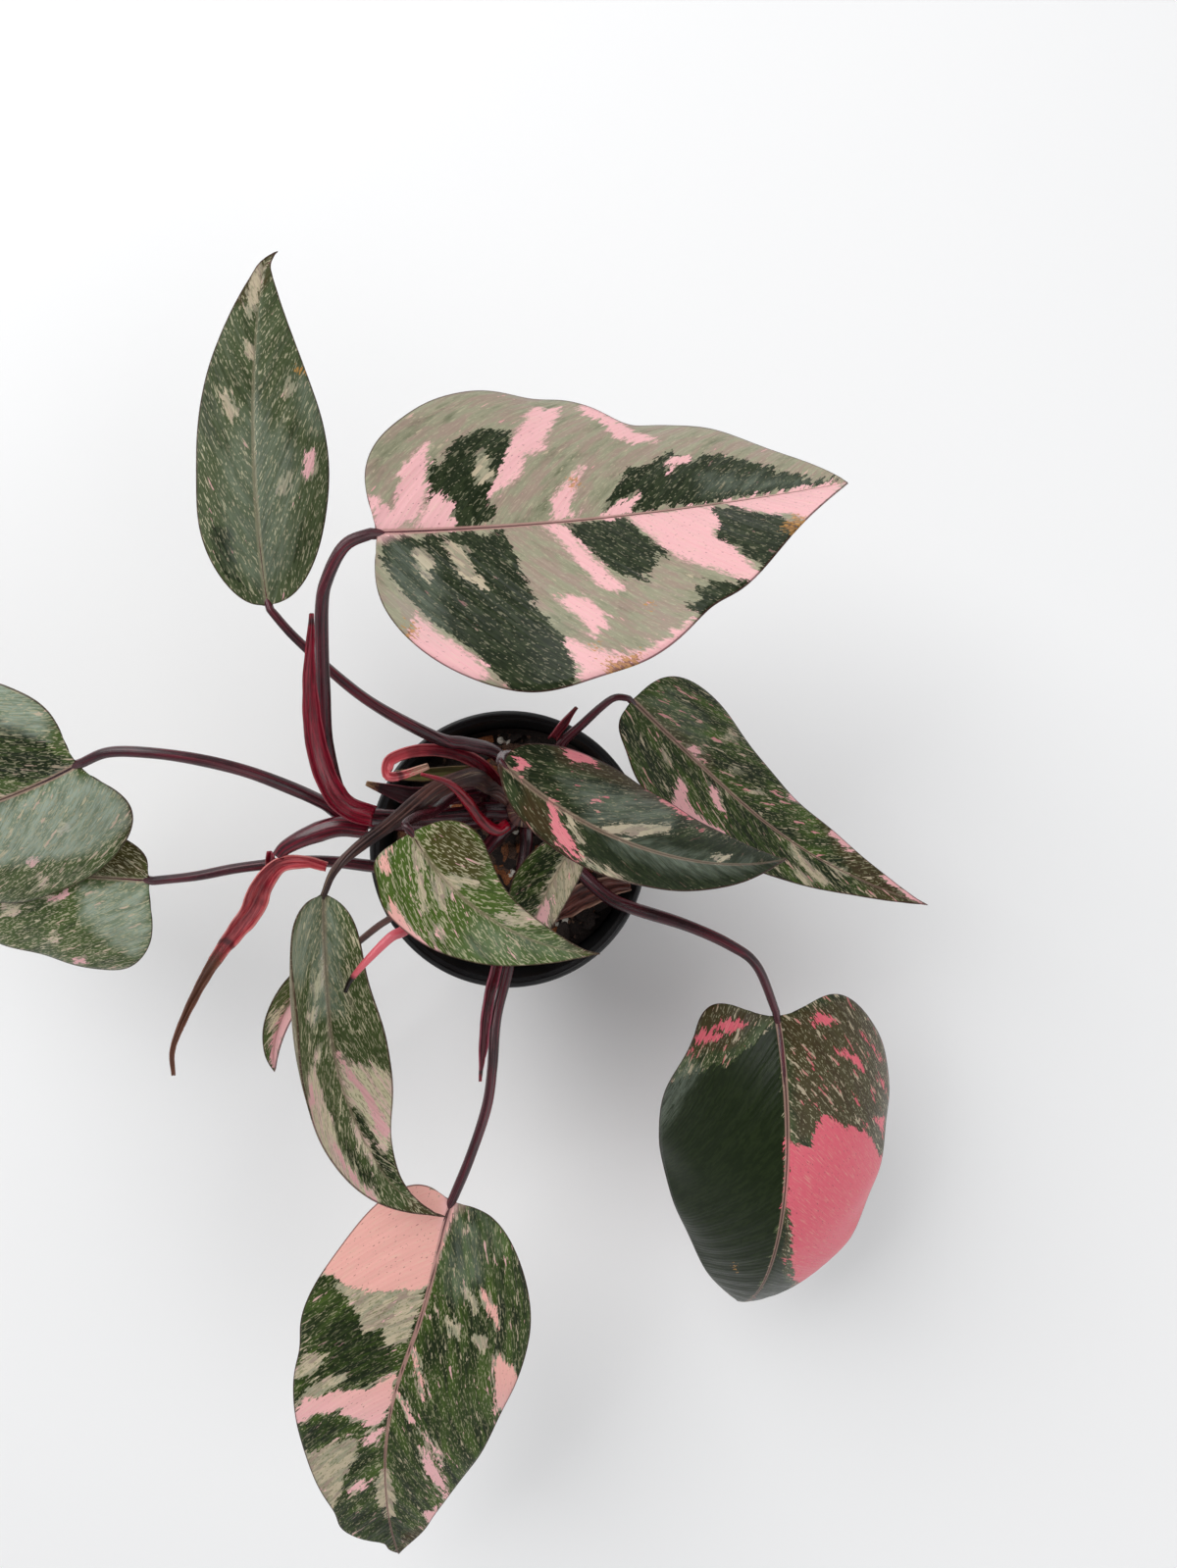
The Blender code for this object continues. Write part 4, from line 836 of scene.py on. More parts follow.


# the darkest stalk colour is the stalks' own dark tone and also the painted shade in their grooves
stalkColours = {
    "maroon": colour(48, 17, 25), "wine": colour(92, 20, 36), "darkTintAndShade": colour(16, 7, 10),
    "shine": colour(126, 76, 80), "brown": colour(98, 60, 52), "bark": colour(46, 22, 24),
    "straw": colour(168, 140, 114), "crimson": colour(126, 4, 28), "red": colour(178, 12, 42),
}


def stalkMaterial(name, main, stripe, shine, roughness, tip=None):
    # long stripes that follow the stalk, with painted shade in its grooves, and a dried tip if one is given
    material, tree, shader = startMaterial(name, roughness)
    around, along, share = split(tree, readVector(tree, "place"))[:3]
    vector = put(tree, "ShaderNodeCombineXYZ", {
        0: times(tree, calc(tree, "COSINE", around), 1.6),
        1: times(tree, calc(tree, "SINE", around), 1.6),
        2: times(tree, along, 0.012)}).outputs[0]
    lines = noise(tree, vector, 2.6, 4.0, 0.6)
    grain = useGroup(tree, fineGrain, {"Coarse": 0.09, "Fine": 1.6})
    base = blend(tree, ramp(tree, lines, 0.38, 0.62), main, stripe)
    base = blend(tree, ramp(tree, grain["Broad"], 0.4, 0.7, 0.0, 0.6), base, stalkColours["darkTintAndShade"])
    base = blend(tree, ramp(tree, lines, 0.6, 0.66, 0.0, 0.6), base, shine)
    # painted shade: the stalk is darkened in the grooves between its ridges
    groove = ramp(tree, readValue(tree, "groove"), 0.5, 1.0, 0.0, 0.75)
    base = blend(tree, groove, base, stalkColours["darkTintAndShade"])
    base = blend(tree, ramp(tree, grain["Small"], 0.66, 0.7, 0.0, 0.35), base, shine)
    if tip:
        base = blend(tree, ramp(tree, share, 0.3, 0.8), base, shine)
        base = blend(tree, ramp(tree, share, 0.9, 0.93), base, tip)
    tree.links.new(base, shader.inputs["Base Color"])
    height = plus(tree, times(tree, lines, 0.7), times(tree, grain["Small"], 0.2))
    addBump(tree, shader, 0.45, 0.0004, height)
    return material


stemSeat = {"centre": (7.0, 15.0), "radius": 6.5, "foot": 60.0, "top": 121.0}
stalks = {
    "petiole_01": dict(
        route=[(-66, 72, 147), (-46, 54, 139), (-23, 41, 131), (-14, 39, 126),
               (-5, 37, 118), (0, 33, 111)],
        seat=(110, 103), radii=(1.4, 2.2, 2.9)),
    "petiole_02": dict(
        route=[(-42, 96, 189), (-48, 87, 186), (-51, 78, 181), (-54, 56, 166),
               (-56, 37, 152), (-53, 20, 144), (-45, 14, 139), (-25, 13, 123), (-12, 14, 112)],
        seat=(180, 105), radii=(1.8, 2.6, 3.2)),
    "petiole_03": dict(
        route=[(40, 55, 128), (35, 52, 125), (28, 46, 118), (21, 40, 110), (16, 32, 103)],
        seat=(58, 99), radii=(1.2, 1.8, 2.4)),
    "petiole_04": dict(
        route=[(3, 32, 174), (3, 34, 160), (6, 34, 137)],
        seat=(80, 115), radii=(1.3, 1.8, 2.3)),
    "petiole_05": dict(
        route=[(92, -42, 110), (82, -34, 111), (66, -27, 108), (46, -21, 104),
               (37, -17, 101), (26, -7, 96)],
        seat=(-45, 92), radii=(1.5, 2.4, 2.7)),
    "petiole_06": dict(
        route=[(-12, -109, 119), (-6, -91, 120), (-4, -77, 119), (-3, -60, 115),
               (1, -42, 108), (3, -23, 101)],
        seat=(-92, 93), radii=(1.8, 2.0, 2.5)),
    "petiole_07": dict(
        route=[(-54, -5, 152), (-50, 0, 152), (-43, 6, 149), (-35, 12, 145),
               (-23, 22, 136), (-11, 27, 125)],
        seat=(145, 115), radii=(1.5, 3.8, 3.4), flatten=0.75, ridges=0.34, ridgeCount=9),
    "petiole_08": dict(
        route=[(-28, 12, 163), (-26, 14, 150), (-23, 15, 137), (-18, 20, 121), (-9, 22, 108)],
        seat=(165, 98), radii=(1.5, 2.0, 2.2)),
    "petiole_09": dict(
        route=[(31, 13, 137), (28, 15, 126), (23, 16, 115)],
        seat=(5, 108), radii=(1.0, 1.4, 1.8)),
    "petiole_10": dict(
        route=[(-49, -29, 98), (-43, -25, 101), (-32, -17, 102), (-18, -9, 97), (-5, 2, 89)],
        seat=(228, 85), radii=(1.3, 1.5, 1.8)),
    "petiole_11": dict(
        route=[(-127, 35, 155), (-114, 35, 156), (-99, 33, 153), (-84, 29, 147),
               (-70, 23, 140), (-61, 18, 133), (-52, 12, 126), (-30, 10, 114), (-10, 11, 98)],
        seat=(190, 90), radii=(1.7, 2.4, 2.9)),
    "petiole_12": dict(
        route=[(-109, -8, 123), (-93, -5, 124), (-74, -3, 122), (-61, -3, 120),
               (-45, -5, 117), (-30, -6, 113), (-13, -4, 106)],
        seat=(222, 98), radii=(1.6, 2.2, 2.6)),
}
shoots = {
    "red_spike": dict(
        route=[(1, 10, 112), (-3, 8, 114), (-8, 12, 120), (-12, 19, 131), (-17, 25, 142), (-25, 28, 150)],
        radii=(2.2, 2.0, 0.6)),
    "red_tongue": dict(
        route=[(-15, -6, 111.6), (-23, -17, 138), (-31, -24, 148), (-35, -26, 151),
               (-43, -34, 152), (-48, -40, 152), (-50, -44, 151)],
        radii=(2.2, 1.9, 0.6), swell=1.2),
    "side_branch": dict(
        route=[(-46, 9, 132), (-56, 10, 134), (-66, 7, 134), (-74, 3, 133), (-77, 0, 132.3)],
        radii=(3.3, 3.8, 2.2)),
}
tubeFinish = {"sides": 36, "step": 1.2}


def tubeFrame(points):
    # the path's direction at each point, and two directions square to it and to each other,
    # found from the axis that the path follows least
    ahead = unit(np.gradient(points, axis=0))
    axes = np.eye(3)
    reference = axes[np.argmin(np.abs(ahead @ axes).max(axis=0))]
    side = unit(np.cross(ahead, reference))
    return ahead, side, np.cross(ahead, side)


def makeTube(name, points, radius, material, seed=0.0, flatten=1.0, ridges=0.05, ridgeCount=5):
    # a circle carried along a path and closed at both ends; ridges are a cosine round the circle
    # that turns slowly along the path
    finish = tubeFinish
    ahead, side, up = tubeFrame(points)
    around = np.arange(finish["sides"]) / finish["sides"] * 2 * np.pi
    lengths = np.concatenate([[0], np.cumsum(np.linalg.norm(np.diff(points, axis=0), axis=1))])
    drift = around[None, :] + 0.012 * lengths[:, None] + seed
    uneven = (1 + 0.3 * np.cos(2 * drift + seed)) / 1.3
    ridge = 1 - ridges * (0.5 - 0.5 * np.cos(ridgeCount * drift)) * uneven
    groove = (1 - ridge) / ridges
    ring = radius[:, None] * ridge
    ring = ring * (1 + 0.02 * np.sin(0.23 * lengths + seed)[:, None])
    body = (points[:, None]
            + side[:, None] * (ring * np.cos(around))[..., None]
            + up[:, None] * (flatten * ring * np.sin(around))[..., None])
    first = np.repeat(points[:1, None] - ahead[:1, None] * 0.05, finish["sides"], axis=1)
    last = np.repeat(points[-1:, None] + ahead[-1:, None] * radius[-1] * 0.4, finish["sides"], axis=1)
    body = np.concatenate([first, body, last])
    share = np.concatenate([[0], lengths / lengths[-1], [1]])
    distance = np.concatenate([[0], lengths, lengths[-1:]])
    groove = np.concatenate([groove[:1], groove, groove[-1:]])
    # groove is how deep each point lies between the ridges; the stalk material paints shade there
    values = {"groove": groove.ravel(), "place": np.stack([
        np.broadcast_to(around[None, :], body.shape[:2]).ravel(),
        np.broadcast_to(distance[:, None] + seed * 50, body.shape[:2]).ravel(),
        np.broadcast_to(share[:, None], body.shape[:2]).ravel()], axis=1)}
    faces = gridFaces(len(body), finish["sides"], closed=True)
    return meshPiece(name + "Surface", body.reshape(-1, 3), faces, [material], values)


def makeStalk(name, stalk, leaf, material, seed):
    # from the stem to the blade, then on under the midrib as its raised rib, whose radius falls
    # nearly evenly to the tip
    ahead = bladeFrame(leaf, np.array([0.0]))[0][0]
    start = np.array(leaf["base"]) - ahead * 0.6
    angle, height = stalk["seat"]
    c, s = turn(angle)
    out = np.array([c, s, 0.0])
    axis = np.array([*stemSeat["centre"], height])
    radius = stemSeat["radius"]
    route = [start, *stalk["route"], axis + out * (radius + 9), axis + out * (radius - 0.5)]
    points = smoothRoute(route, tubeFinish["step"])[::-1]
    share = np.linspace(0, 1, len(points))
    radius = np.interp(share, [0, 0.5, 1], stalk["radii"][::-1])
    v = np.linspace(0.015, 0.93, 70)
    ribRadius = 0.85 * stalk["radii"][0] * (1 - v) ** 0.9 + 0.12
    face = bladeFrame(leaf, leaf["length"] * v)[2]
    rib = bladePoints(leaf, v, 0 * v) - face * (ribRadius * 0.75 + 0.45)[:, None]
    points = np.concatenate([points[:-1], rib])
    radius = np.concatenate([radius[:-1], ribRadius])
    piece = makeTube(name, points, radius, material, seed, stalk.get("flatten", 1.0),
                     stalk.get("ridges", 0.06), stalk.get("ridgeCount", 5))
    finishPiece(piece, name)


shades = stalkColours
maroonStalk = stalkMaterial("maroonStalk", shades["maroon"], shades["wine"], shades["shine"], 0.27)
brownStalk = stalkMaterial("brownStalk", shades["brown"], shades["bark"], shades["straw"], 0.5)
redShoot = stalkMaterial("redShoot", shades["crimson"], shades["red"], colour(190, 50, 72), 0.16)
pinkShoot = stalkMaterial("pinkShoot", colour(150, 30, 50), colour(186, 60, 76), colour(214, 96, 108), 0.2,
                          tip=colour(24, 12, 12))
branchStalk = stalkMaterial("branchStalk", colour(62, 8, 22), colour(110, 14, 36), colour(160, 60, 72),
                            0.2)
for number, (name, stalk) in enumerate(stalks.items()):
    material = brownStalk if name in ("petiole_07", "petiole_10") else maroonStalk
    makeStalk(name, stalk, leaves[name.replace("petiole", "leaf")], material, number * 1.7)
for name, shoot in shoots.items():
    points = smoothRoute(shoot["route"], tubeFinish["step"])
    radius = np.interp(np.linspace(0, 1, len(points)), [0, 0.5, 1], shoot["radii"])
    material = {"side_branch": branchStalk, "red_spike": redShoot, "red_tongue": pinkShoot}[name]
    piece = makeTube(name, points, radius * shoot.get("swell", 1.0), material, 0.4)
    finishPiece(piece, name)
print("stalks made")


sheaths = {
    "tall_sheath": dict(
        route=[(-42, 13, 146), (-50, 16, 150), (-55, 23, 155), (-58, 37, 163),
               (-57, 55, 174), (-53, 76, 186)],
        widths=(5, 5.5, 5, 4, 2.4, 0.8), arch=75, openTo=(0.5, 0.3, 0.8), slot="crimson_sheath"),
    "front_sheath": dict(
        route=[(-2, -30, 108), (-4, -42, 112), (-6, -51, 115), (-7.4, -62, 118), (-8.2, -81, 122)],
        widths=(3.2, 3.2, 2.9, 2.5, 0.5), arch=80, openTo=(0.6, 0, 0.8), slot="crimson_sheath"),
    "curled_sheath": dict(
        route=[(1.7, 20.2, 93), (-4, 26, 101), (-9, 32, 110), (-17, 36, 118), (-25, 37, 126),
               (-32, 36, 132), (-38, 33, 135), (-38, 28, 137), (-33, 28, 139), (-24, 31, 140)],
        widths=(2.5, 2.8, 2.8, 2.6, 2.2, 1.2), arch=60, openTo=(0.2, -0.3, 0.9), slot="crimson_sheath"),
    "flap_sheath": dict(
        route=[(-6, 20, 92), (-17, 21, 101), (-31, 20, 113), (-39, 22, 120), (-48, 25, 125)],
        widths=(3, 4, 4.5, 3.5, 0.8), arch=50, openTo=(0, 0, 1), slot="stalk"),
    "green_stub": dict(
        route=[(-10, 30, 107), (-20, 29, 111), (-29, 28, 114), (-39, 28, 117)],
        widths=(1.8, 2.5, 3, 2), arch=70, openTo=(0, 0, 1), slot="green_sheath"),
    "withered_sheath": dict(
        route=[(-61, -4, 129), (-68, -2, 131), (-77, -3, 131), (-84, -10, 128), (-89, -19, 123),
               (-96, -27, 117), (-106, -39, 110), (-115, -52, 103), (-123, -66, 97),
               (-128, -77, 92), (-129, -87, 88)],
        widths=(2.2, 4, 6, 5, 3.6, 2.6, 2, 1.4, 0.8), arch=85, openTo=(0.3, -0.2, 0.9), wrinkle=2.2,
        slot="dry_sheath"),
    "withered_back": dict(
        node="withered_sheath",
        route=[(-79, 1, 132.5), (-81, -7, 126), (-85, -15, 121), (-88, -22, 118)],
        widths=(2.2, 3.0, 3.0, 1.2), arch=70, openTo=(-0.3, 0.2, 0.9), wrinkle=2.0, slot="dry_sheath"),
    "paper_sheath": dict(
        route=[(46, -13, 96), (39, -14, 93), (29, -18, 88), (22, -23, 83), (15, -29, 80)],
        widths=(2.5, 4.5, 5.2, 4.4, 1), arch=35, openTo=(0, 0, 1), wrinkle=5.5, slot="dry_sheath"),
    "east_sheath": dict(
        route=[(17, 42, 110), (22, 48, 117), (26, 52, 122)],
        widths=(2.4, 2.2, 0.8), arch=80, openTo=(0.3, -0.6, 0.7), slot="crimson_sheath"),
}
sheathFinish = {"step": 0.8, "columns": 26, "thickness": 0.5}


def sheathMaterial(name):
    # long folds of two tones, a paler lip along both edges, and further out a bright part
    # and a tip of other colours
    *tones, tipFrom, roughness = sheathLooks[name]
    main, inside, lip, tip = [colour(*tone) for tone in tones]
    first, second = name.split("_")
    material, tree, shader = startMaterial(first + second.title(), roughness)
    across, along, share = split(tree, readVector(tree, "place"))[:3]
    vector = put(tree, "ShaderNodeCombineXYZ", {
        0: times(tree, across, 2.2), 1: times(tree, along, 0.03), 2: 0.0}).outputs[0]
    lines = noise(tree, vector, 3.0, 4.0, 0.6)
    grain = useGroup(tree, fineGrain, {"Coarse": 0.15, "Fine": 1.4})
    base = blend(tree, ramp(tree, lines, 0.36, 0.64), main, inside)
    if name in brightPart:
        bright, brightFrom = brightPart[name]
        glow = timesPlus(tree, lines, 0.3, share)
        base = blend(tree, ramp(tree, glow, brightFrom + 0.1, brightFrom + 0.25), base, bright)
    edge = ramp(tree, calc(tree, "ABSOLUTE", across), 0.72, 1.0)
    base = blend(tree, times(tree, edge, 0.55), base, lip)
    base = blend(tree, ramp(tree, grain["Broad"], 0.45, 0.75, 0.0, 0.4), base, stalkColours["darkTintAndShade"])
    drift = plus(tree, share, times(tree, minus(tree, grain["Small"], 0.5), 0.2))
    base = blend(tree, ramp(tree, drift, tipFrom, tipFrom + 0.1), base, tip)
    knot = calc(tree, "ABSOLUTE", minus(tree, share, tipFrom))
    base = blend(tree, ramp(tree, knot, 0.004, 0.02, 0.7, 0.0), base, stalkColours["darkTintAndShade"])
    tree.links.new(base, shader.inputs["Base Color"])
    height = plus(tree, lines, times(tree, grain["Small"], 0.4))
    addBump(tree, shader, 0.5, 0.0004, height)
    return material


# main and inside tones, lip, tip, where the tip starts, roughness
sheathLooks = {
    "tall_sheath": ((94, 6, 26), (152, 12, 44), (120, 14, 36), (120, 40, 40), 0.97, 0.2),
    "front_sheath": ((58, 4, 18), (96, 6, 28), (176, 84, 104), (150, 30, 50), 0.94, 0.24),
    "curled_sheath": ((96, 6, 26), (150, 16, 44), (222, 120, 122), (186, 146, 124), 0.88, 0.22),
    "flap_sheath": ((66, 10, 24), (44, 8, 16), (110, 30, 44), (150, 118, 84), 0.9, 0.34),
    "green_stub": ((76, 76, 34), (112, 106, 56), (104, 70, 44), (110, 90, 60), 0.95, 0.42),
    "withered_sheath": ((150, 34, 50), (206, 92, 96), (232, 150, 142), (112, 70, 52), 0.46, 0.3),
    "withered_back": ((98, 10, 30), (150, 28, 52), (216, 120, 122), (112, 62, 50), 0.8, 0.28),
    "paper_sheath": ((122, 72, 62), (50, 24, 22), (186, 146, 124), (140, 110, 90), 0.9, 0.4),
    "east_sheath": ((92, 8, 28), (130, 22, 42), (150, 50, 60), (96, 40, 36), 0.9, 0.3),
}
brightPart = {"curled_sheath": (colour(206, 78, 88), 0.56)}  # a brighter part, and where it starts


def makeSheath(name, sheath, seed):
    # an arc of a circle carried along a path, open towards openTo, its width changing; crossed
    # sine waves crease it, more so towards its edges
    finish = sheathFinish
    points = smoothRoute(sheath["route"], finish["step"])
    ahead = unit(np.gradient(points, axis=0))
    toward = np.array(sheath["openTo"])
    face = unit(toward - ahead * (ahead @ toward)[:, None])
    side = np.cross(face, ahead)
    share = np.linspace(0, 1, len(points))
    half = np.interp(share, np.linspace(0, 1, len(sheath["widths"])), sheath["widths"])
    turned = np.radians(sheath["arch"])
    across = np.linspace(-1, 1, finish["columns"] + 1)[None, :]
    bend = turned * across
    radius = half[:, None] / turned
    lengths = share * len(points) * finish["step"]
    folds = np.sin(across * 9 + 0.12 * lengths[:, None] + seed)
    crease = 0.12 * folds + 0.16 * across ** 2 * np.sin(lengths[:, None] * 0.55 + seed + 2 * across)
    crease = crease * sheath.get("wrinkle", 1.0)
    out = radius * np.sin(bend)
    rise = radius * (1 - np.cos(bend)) + crease
    body = points[:, None] + side[:, None] * out[..., None] + face[:, None] * rise[..., None]
    grid = np.broadcast_arrays(across, lengths[:, None] + seed * 40, share[:, None])
    values = {"place": np.stack([g.ravel() for g in grid], axis=1)}
    piece = meshPiece(name + "Skin", body.reshape(-1, 3), gridFaces(len(points), finish["columns"] + 1),
                      [sheathMaterial(name)], values)
    thicken(piece, finish["thickness"])
    finishPiece(piece, sheath.get("node", name))


for number, (name, sheath) in enumerate(sheaths.items()):
    makeSheath(name, sheath, number * 1.3)
print("sheaths made")


pot = {"height": 95.0, "lipRadius": 52.5, "lipWidth": 2.0, "lipDepth": 9.0, "topRadius": 50.8,
       "baseRadius": 38.0, "wall": 1.2, "drainRadius": 4.0, "drainCount": 6, "drainCircle": 27.0,
       "sectors": 160, "drainSectors": 28, "crease": 35}


def innerRadius(height):
    # the wall's inner radius, which grows evenly from base to top
    return pot["baseRadius"] + (pot["topRadius"] - pot["baseRadius"]) * height / pot["height"] - pot["wall"]


def potMaterial():
    # black plastic with faint cloudy wear and dust
    material, tree, shader = startMaterial("blackPlastic", 0.42)
    grain = useGroup(tree, fineGrain, {"Coarse": 0.1, "Fine": 1.8})
    base = blend(tree, ramp(tree, grain["Broad"], 0.35, 0.7), colour(12, 13, 15), colour(24, 25, 27))
    base = blend(tree, ramp(tree, grain["Small"], 0.64, 0.76, 0.0, 0.4), base, colour(70, 68, 62))
    tree.links.new(base, shader.inputs["Base Color"])
    tree.links.new(ramp(tree, grain["Small"], 0.3, 0.7, 0.34, 0.56), shader.inputs["Roughness"])
    addBump(tree, shader, 0.2, 0.0003, grain["Small"])
    return material


def turnedPoints(profile, sectors):
    # a profile of (radius, height) turned round the Z axis
    profile = np.array(profile, float)
    angle = np.arange(sectors) / sectors * 2 * np.pi
    x = profile[:, :1] * np.cos(angle)
    y = profile[:, :1] * np.sin(angle)
    z = np.repeat(profile[:, 1:], sectors, axis=1)
    return np.stack([x, y, z], axis=-1)


def makePot():
    # one closed profile, inside then outside, turned round the Z axis, with drain holes cut out
    p = pot
    top, lip, wall, skirt = p["height"], p["lipRadius"], p["wall"], p["height"] - p["lipDepth"]
    half = p["lipWidth"] / 2
    roundLip = [(lip - half + half * np.cos(a), top - 0.9 + 0.9 * np.sin(a))
                for a in np.radians(np.linspace(180, 0, 9))]
    profile = [(0, wall), (p["drainCircle"], wall), (innerRadius(wall) - 1, wall),
               (innerRadius(wall), wall + 1), (innerRadius(40), 40), (innerRadius(top - 3), top - 3),
               (lip - p["lipWidth"], top - 1.6), *roundLip, (lip, top - 3), (lip - 0.4, skirt),
               (lip - 0.9, skirt - 0.5), (innerRadius(skirt) + wall, skirt - 0.8),
               (innerRadius(40) + wall, 40), (p["baseRadius"], 1.2), (p["baseRadius"] - 0.4, 0.4),
               (p["baseRadius"] - 1.2, 0), (0, 0)]
    body = turnedPoints(profile, p["sectors"])
    faces = gridFaces(len(profile), p["sectors"], closed=True)[:, ::-1]
    piece = meshPiece("potShell", body.reshape(-1, 3), faces, [potMaterial()])
    ring = [(0, -3), (p["drainRadius"], -3), (p["drainRadius"], 5), (0, 5)]
    plug = turnedPoints(ring, p["drainSectors"])
    plugFaces = gridFaces(len(ring), p["drainSectors"], closed=True)
    for k in range(p["drainCount"]):
        c, s = turn(360 / p["drainCount"] * k)
        moved = plug + (p["drainCircle"] * c, p["drainCircle"] * s, 0)
        cutter = meshPiece("drainCutter", moved.reshape(-1, 3), plugFaces, [])
        cut = piece.modifiers.new("drain", "BOOLEAN")
        cut.operation, cut.solver, cut.object = "DIFFERENCE", "EXACT", cutter
        bpy.context.view_layer.update()
        seen = piece.evaluated_get(bpy.context.evaluated_depsgraph_get())
        cutMesh = bpy.data.meshes.new_from_object(seen)
        piece.modifiers.clear()
        piece.data = cutMesh
        bpy.data.objects.remove(cutter)
    sharpen(piece, p["crease"])
    finishPiece(piece, "pot")


def sharpen(piece, angle):
    # keep true corners crisp on a smooth-shaded piece
    soft = bmesh.new()
    soft.from_mesh(piece.data)
    for edge in soft.edges:
        edge.smooth = edge.calc_face_angle(0) < np.radians(angle)
    soft.to_mesh(piece.data)
    soft.free()


# loose pieces: how many, roundness, least and largest size, how high they sit, range of tones
soil = {"top": 79.0, "foot": 1.5, "relief": 1.6, "seed": 21,
        "chips": (260, 2, (5, 3.5, 2.0), (12, 7.5, 4.0), 0.3, (0.05, 0.84)),
        "perlite": (85, 2, (1.6, 1.4, 1.2), (3.6, 3.2, 2.6), 0.5, (0.95, 1.0)),
        "crumbs": (900, 1, (0.8, 0.8, 0.7), (2.6, 2.0, 1.6), 0.5, (0.0, 0.6))}


def soilHeight(x, y):
    # the top plus crossed sine waves
    bumps = np.sin(x / 4.1 + 1) * np.cos(y / 5.3) + np.sin((x - 1.4 * y) / 7.7)
    return soil["top"] + soil["relief"] * bumps / 2


def soilMaterial():
    # tone picks crumbs, bark, orange chips or white perlite
    material, tree, shader = startMaterial("barkMix", 0.85)
    tone = readValue(tree, "tone")
    grain = useGroup(tree, fineGrain, {"Coarse": 0.5, "Fine": 2.4})
    base = blend(tree, ramp(tree, grain["Small"], 0.35, 0.65), colour(16, 11, 10), colour(50, 36, 30))
    bark = blend(tree, ramp(tree, grain["Small"], 0.4, 0.6), colour(60, 40, 32), colour(104, 76, 58))
    base = blend(tree, ramp(tree, tone, 0.3, 0.55), base, bark)
    chip = blend(tree, ramp(tree, grain["Small"], 0.4, 0.6), colour(104, 56, 30), colour(160, 98, 54))
    base = blend(tree, ramp(tree, tone, 0.72, 0.76), base, chip)
    base = blend(tree, ramp(tree, tone, 0.88, 0.92), base, colour(216, 210, 198))
    tree.links.new(base, shader.inputs["Base Color"])
    height = plus(tree, grain["Small"], times(tree, grain["Broad"], 0.5))
    addBump(tree, shader, 0.7, 0.0008, height)
    return material


def ballShape(level):
    # a ball of triangles, 80 at level 1 and four times as many at each further one
    soft = bmesh.new()
    bmesh.ops.create_icosphere(soft, subdivisions=level, radius=1)
    points = np.array([v.co for v in soft.verts])
    faces = np.array([[v.index for v in f.verts] for f in soft.faces])
    soft.free()
    return points, faces


def scatter(random, count, level, low, high, sink, tones):
    # copies of a small ball, each stretched, dented, turned and tilted, set into the soil at its
    # own place, pulled in from the wall and left out at the stem
    ball, faces = ballShape(level)
    room = innerRadius(soil["top"] - 4) - 2.5
    reach = room * np.sqrt(random.uniform(0, 1, count))
    angle = random.uniform(0, 2 * np.pi, count)
    x, y = reach * np.cos(angle), reach * np.sin(angle)
    size = random.uniform(low, high, (count, 3)) / 2
    dent = 1 + random.uniform(-0.28, 0.28, (count, len(ball), 1))
    lump = ball[None] * dent * size[:, None]
    spin, tilt = random.uniform(0, 2 * np.pi, count), random.normal(0, 0.3, count)
    c, s = np.cos(spin)[:, None], np.sin(spin)[:, None]
    z = lump[..., 2] + lump[..., 0] * np.sin(tilt)[:, None]
    px = lump[..., 0] * c - lump[..., 1] * s + x[:, None]
    py = lump[..., 0] * s + lump[..., 1] * c + y[:, None]
    pz = z + soilHeight(x, y)[:, None] + sink * size[:, 2:3]
    far = np.hypot(px, py)
    pull = np.minimum(1, room / far)
    stay = np.hypot(x - stemSeat["centre"][0], y - stemSeat["centre"][1]) > stemSeat["radius"] + 1.5
    points = np.stack([px * pull, py * pull, pz], axis=-1)[stay]
    tone = np.repeat(random.uniform(*tones, count)[stay, None], len(ball), axis=1)
    order = np.arange(stay.sum())[:, None, None] * len(ball)
    return points.reshape(-1, 3), (faces[None] + order).reshape(-1, 3), tone.ravel()


def makeSoil():
    # a round bed of low waves and crumbs, its side down to the pot's base, and loose pieces on top
    random = np.random.default_rng(soil["seed"])
    rings, sectors = ((56, 180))
    room = innerRadius(soil["top"] - 4) - 0.3
    share = np.linspace(0, 1, rings)[:, None]
    angle = np.arange(sectors)[None, :] / sectors * 2 * np.pi
    x, y = room * share * np.cos(angle), room * share * np.sin(angle)
    crumb = 0.5 * np.sin(1.9 * x + 0.7 * y) * np.sin(1.7 * y - 0.4 * x) + 0.3 * np.sin(3.1 * x - 2.2 * y)
    z = soil["top"] - 2 + (soilHeight(x, y) + crumb - soil["top"] + 2) * (1 - share ** 6)
    foot = np.array([[innerRadius(soil["foot"]) - 0.6], [0]])
    side = np.stack([foot * np.cos(angle), foot * np.sin(angle), np.full((2, sectors), soil["foot"])],
                    axis=-1)
    body = np.concatenate([np.stack([x, y, z], axis=-1), side])
    quads = gridFaces(len(body), sectors, closed=True)[:, ::-1]
    parts = [(body.reshape(-1, 3), quads, np.zeros(len(body) * sectors))]
    parts += [scatter(random, *soil[kind]) for kind in ("chips", "perlite", "crumbs")]
    faces, start = [], 0
    for points, corners, _ in parts:
        faces += (corners + start).tolist()
        start += len(points)
    piece = meshPiece("soilSurface", np.concatenate([part[0] for part in parts]), faces, [soilMaterial()],
                      {"tone": np.concatenate([part[2] for part in parts])}, weld=1e-6)
    polygons = piece.data.polygons
    polygons.foreach_set("use_smooth", np.array([len(p.vertices) == 4 for p in polygons]))
    finishPiece(piece, "soil")


stemFinish = {"rows": 90, "sides": 40, "jointFrom": 61, "jointStep": 13, "jointWidth": 1.2, "joint": 0.55}


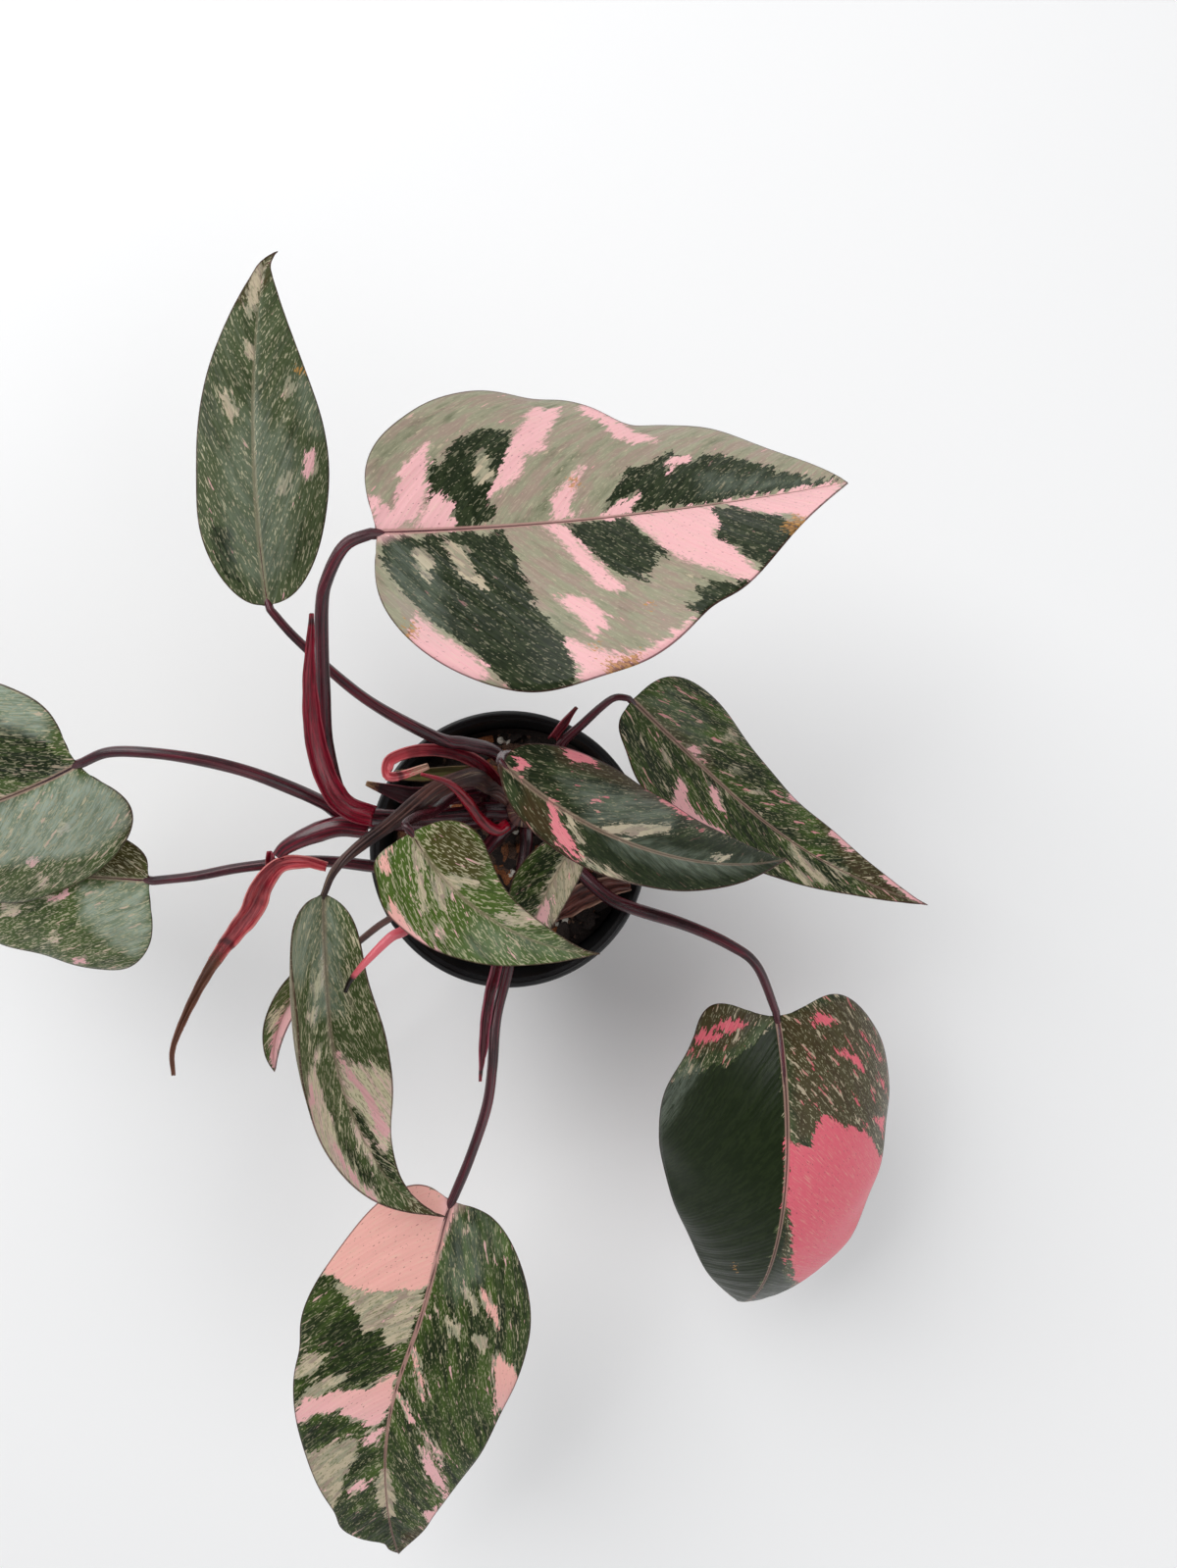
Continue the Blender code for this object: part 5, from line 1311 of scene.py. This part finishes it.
def makeStem():
    # a turned stem with a bell-shaped ring at each joint, rounded off at its top
    seat, finish = stemSeat, stemFinish
    sides, step = finish["sides"], finish["jointStep"]
    height = np.linspace(seat["foot"], seat["top"], finish["rows"])
    ring = np.exp(-((((height - finish["jointFrom"]) % step) - step / 2) / finish["jointWidth"]) ** 2)
    dome = np.sqrt(np.clip((seat["top"] + 0.2 - height) / 4, 0, 1))
    radius = (seat["radius"] - 0.6 + finish["joint"] * ring) * dome
    angle = np.arange(sides) / sides * 2 * np.pi
    wobble = 1 + 0.03 * np.sin(5 * angle)[None, :] + 0.02 * np.sin(11 * angle)[None, :]
    x = seat["centre"][0] + radius[:, None] * wobble * np.cos(angle)
    y = seat["centre"][1] + radius[:, None] * wobble * np.sin(angle)
    z = np.repeat(height[:, None], sides, axis=1)
    body = np.stack([x, y, z], axis=-1)
    ends = np.array([[*seat["centre"], seat["foot"]], [*seat["centre"], seat["top"]]])
    body = np.concatenate([np.repeat(ends[:1, None], sides, 1), body, np.repeat(ends[1:, None], sides, 1)])
    grid = np.broadcast_arrays(angle[None, :], body[..., 2],
                               (body[..., 2] - seat["foot"]) / (seat["top"] - seat["foot"]))
    values = {"groove": np.zeros(grid[0].size), "place": np.stack([g.ravel() for g in grid], axis=1)}
    faces = gridFaces(len(body), sides, closed=True)
    piece = meshPiece("stemSurface", body.reshape(-1, 3), faces, [brownStalk], values)
    finishPiece(piece, "stem")


makePot()
makeSoil()
makeStem()
print("pot, soil and stem made")


room = {"floorHalf": 8000, "floorHeight": -0.5, "floorWhite": 0.9,
        "skyLow": 0.85, "skyHigh": 0.32, "skyTint": (0.97, 0.98, 1.0, 1)}
lamps = {"mainLamp": dict(place=(-0.8, 0.9, 1.3), size=1.3, power=22),
         "fillLamp": dict(place=(1.1, -0.6, 1.2), size=1.5, power=9)}
lookFrom = {"place": (0.0304, 0.0247, 0.540), "sensor": 36, "lens": 36 * 1200 / 1599, "near": 0.01}


def makeStage():
    # a wide pale floor, an even sky that is dimmer overhead, and two soft lamps
    corners = np.array([(-1, -1), (1, -1), (1, 1), (-1, 1)]) * room["floorHalf"]
    points = np.concatenate([corners, np.full((4, 1), room["floorHeight"])], axis=1)
    material, tree, shader = startMaterial("paleFloor", 0.9)
    shader.inputs["Base Color"].default_value = (*[room["floorWhite"]] * 3, 1)
    meshPiece("floor", points, [(0, 1, 2, 3)], [material], weld=0)
    world = bpy.data.worlds.new("softRoom")
    scene.world = world
    world.use_nodes = True
    tree = world.node_tree
    sky = tree.nodes["Background"]
    height = split(tree, put(tree, "ShaderNodeTexCoord").outputs["Generated"])[2]
    strength = ramp(tree, height, 0.0, 0.9, room["skyLow"], room["skyHigh"])
    tree.links.new(strength, sky.inputs["Strength"])
    sky.inputs["Color"].default_value = room["skyTint"]
    for name, given in lamps.items():
        light = bpy.data.lights.new(name, "AREA")
        light.size = given["size"]
        light.energy = given["power"]
        lamp = bpy.data.objects.new(name, light)
        lamp.location = given["place"]
        lamp.rotation_euler = directionTurn(np.array([0, 0, 0.1]) - np.array(given["place"]))
        scene.collection.objects.link(lamp)


def directionTurn(aim):
    # the turn that points a lamp, which shines along its own -Z, along aim
    return Vector(aim).to_track_quat("-Z", "Y").to_euler()


def makeCamera():
    # straight above the plant, as in the photograph
    data = bpy.data.cameras.new("camera")
    data.sensor_width = lookFrom["sensor"]
    data.lens = lookFrom["lens"]
    data.clip_start = lookFrom["near"]
    camera = bpy.data.objects.new("camera", data)
    camera.location = lookFrom["place"]
    scene.collection.objects.link(camera)
    scene.camera = camera


makeStage()
makeCamera()
scene.view_settings.view_transform = "Standard"
print("stage ready")
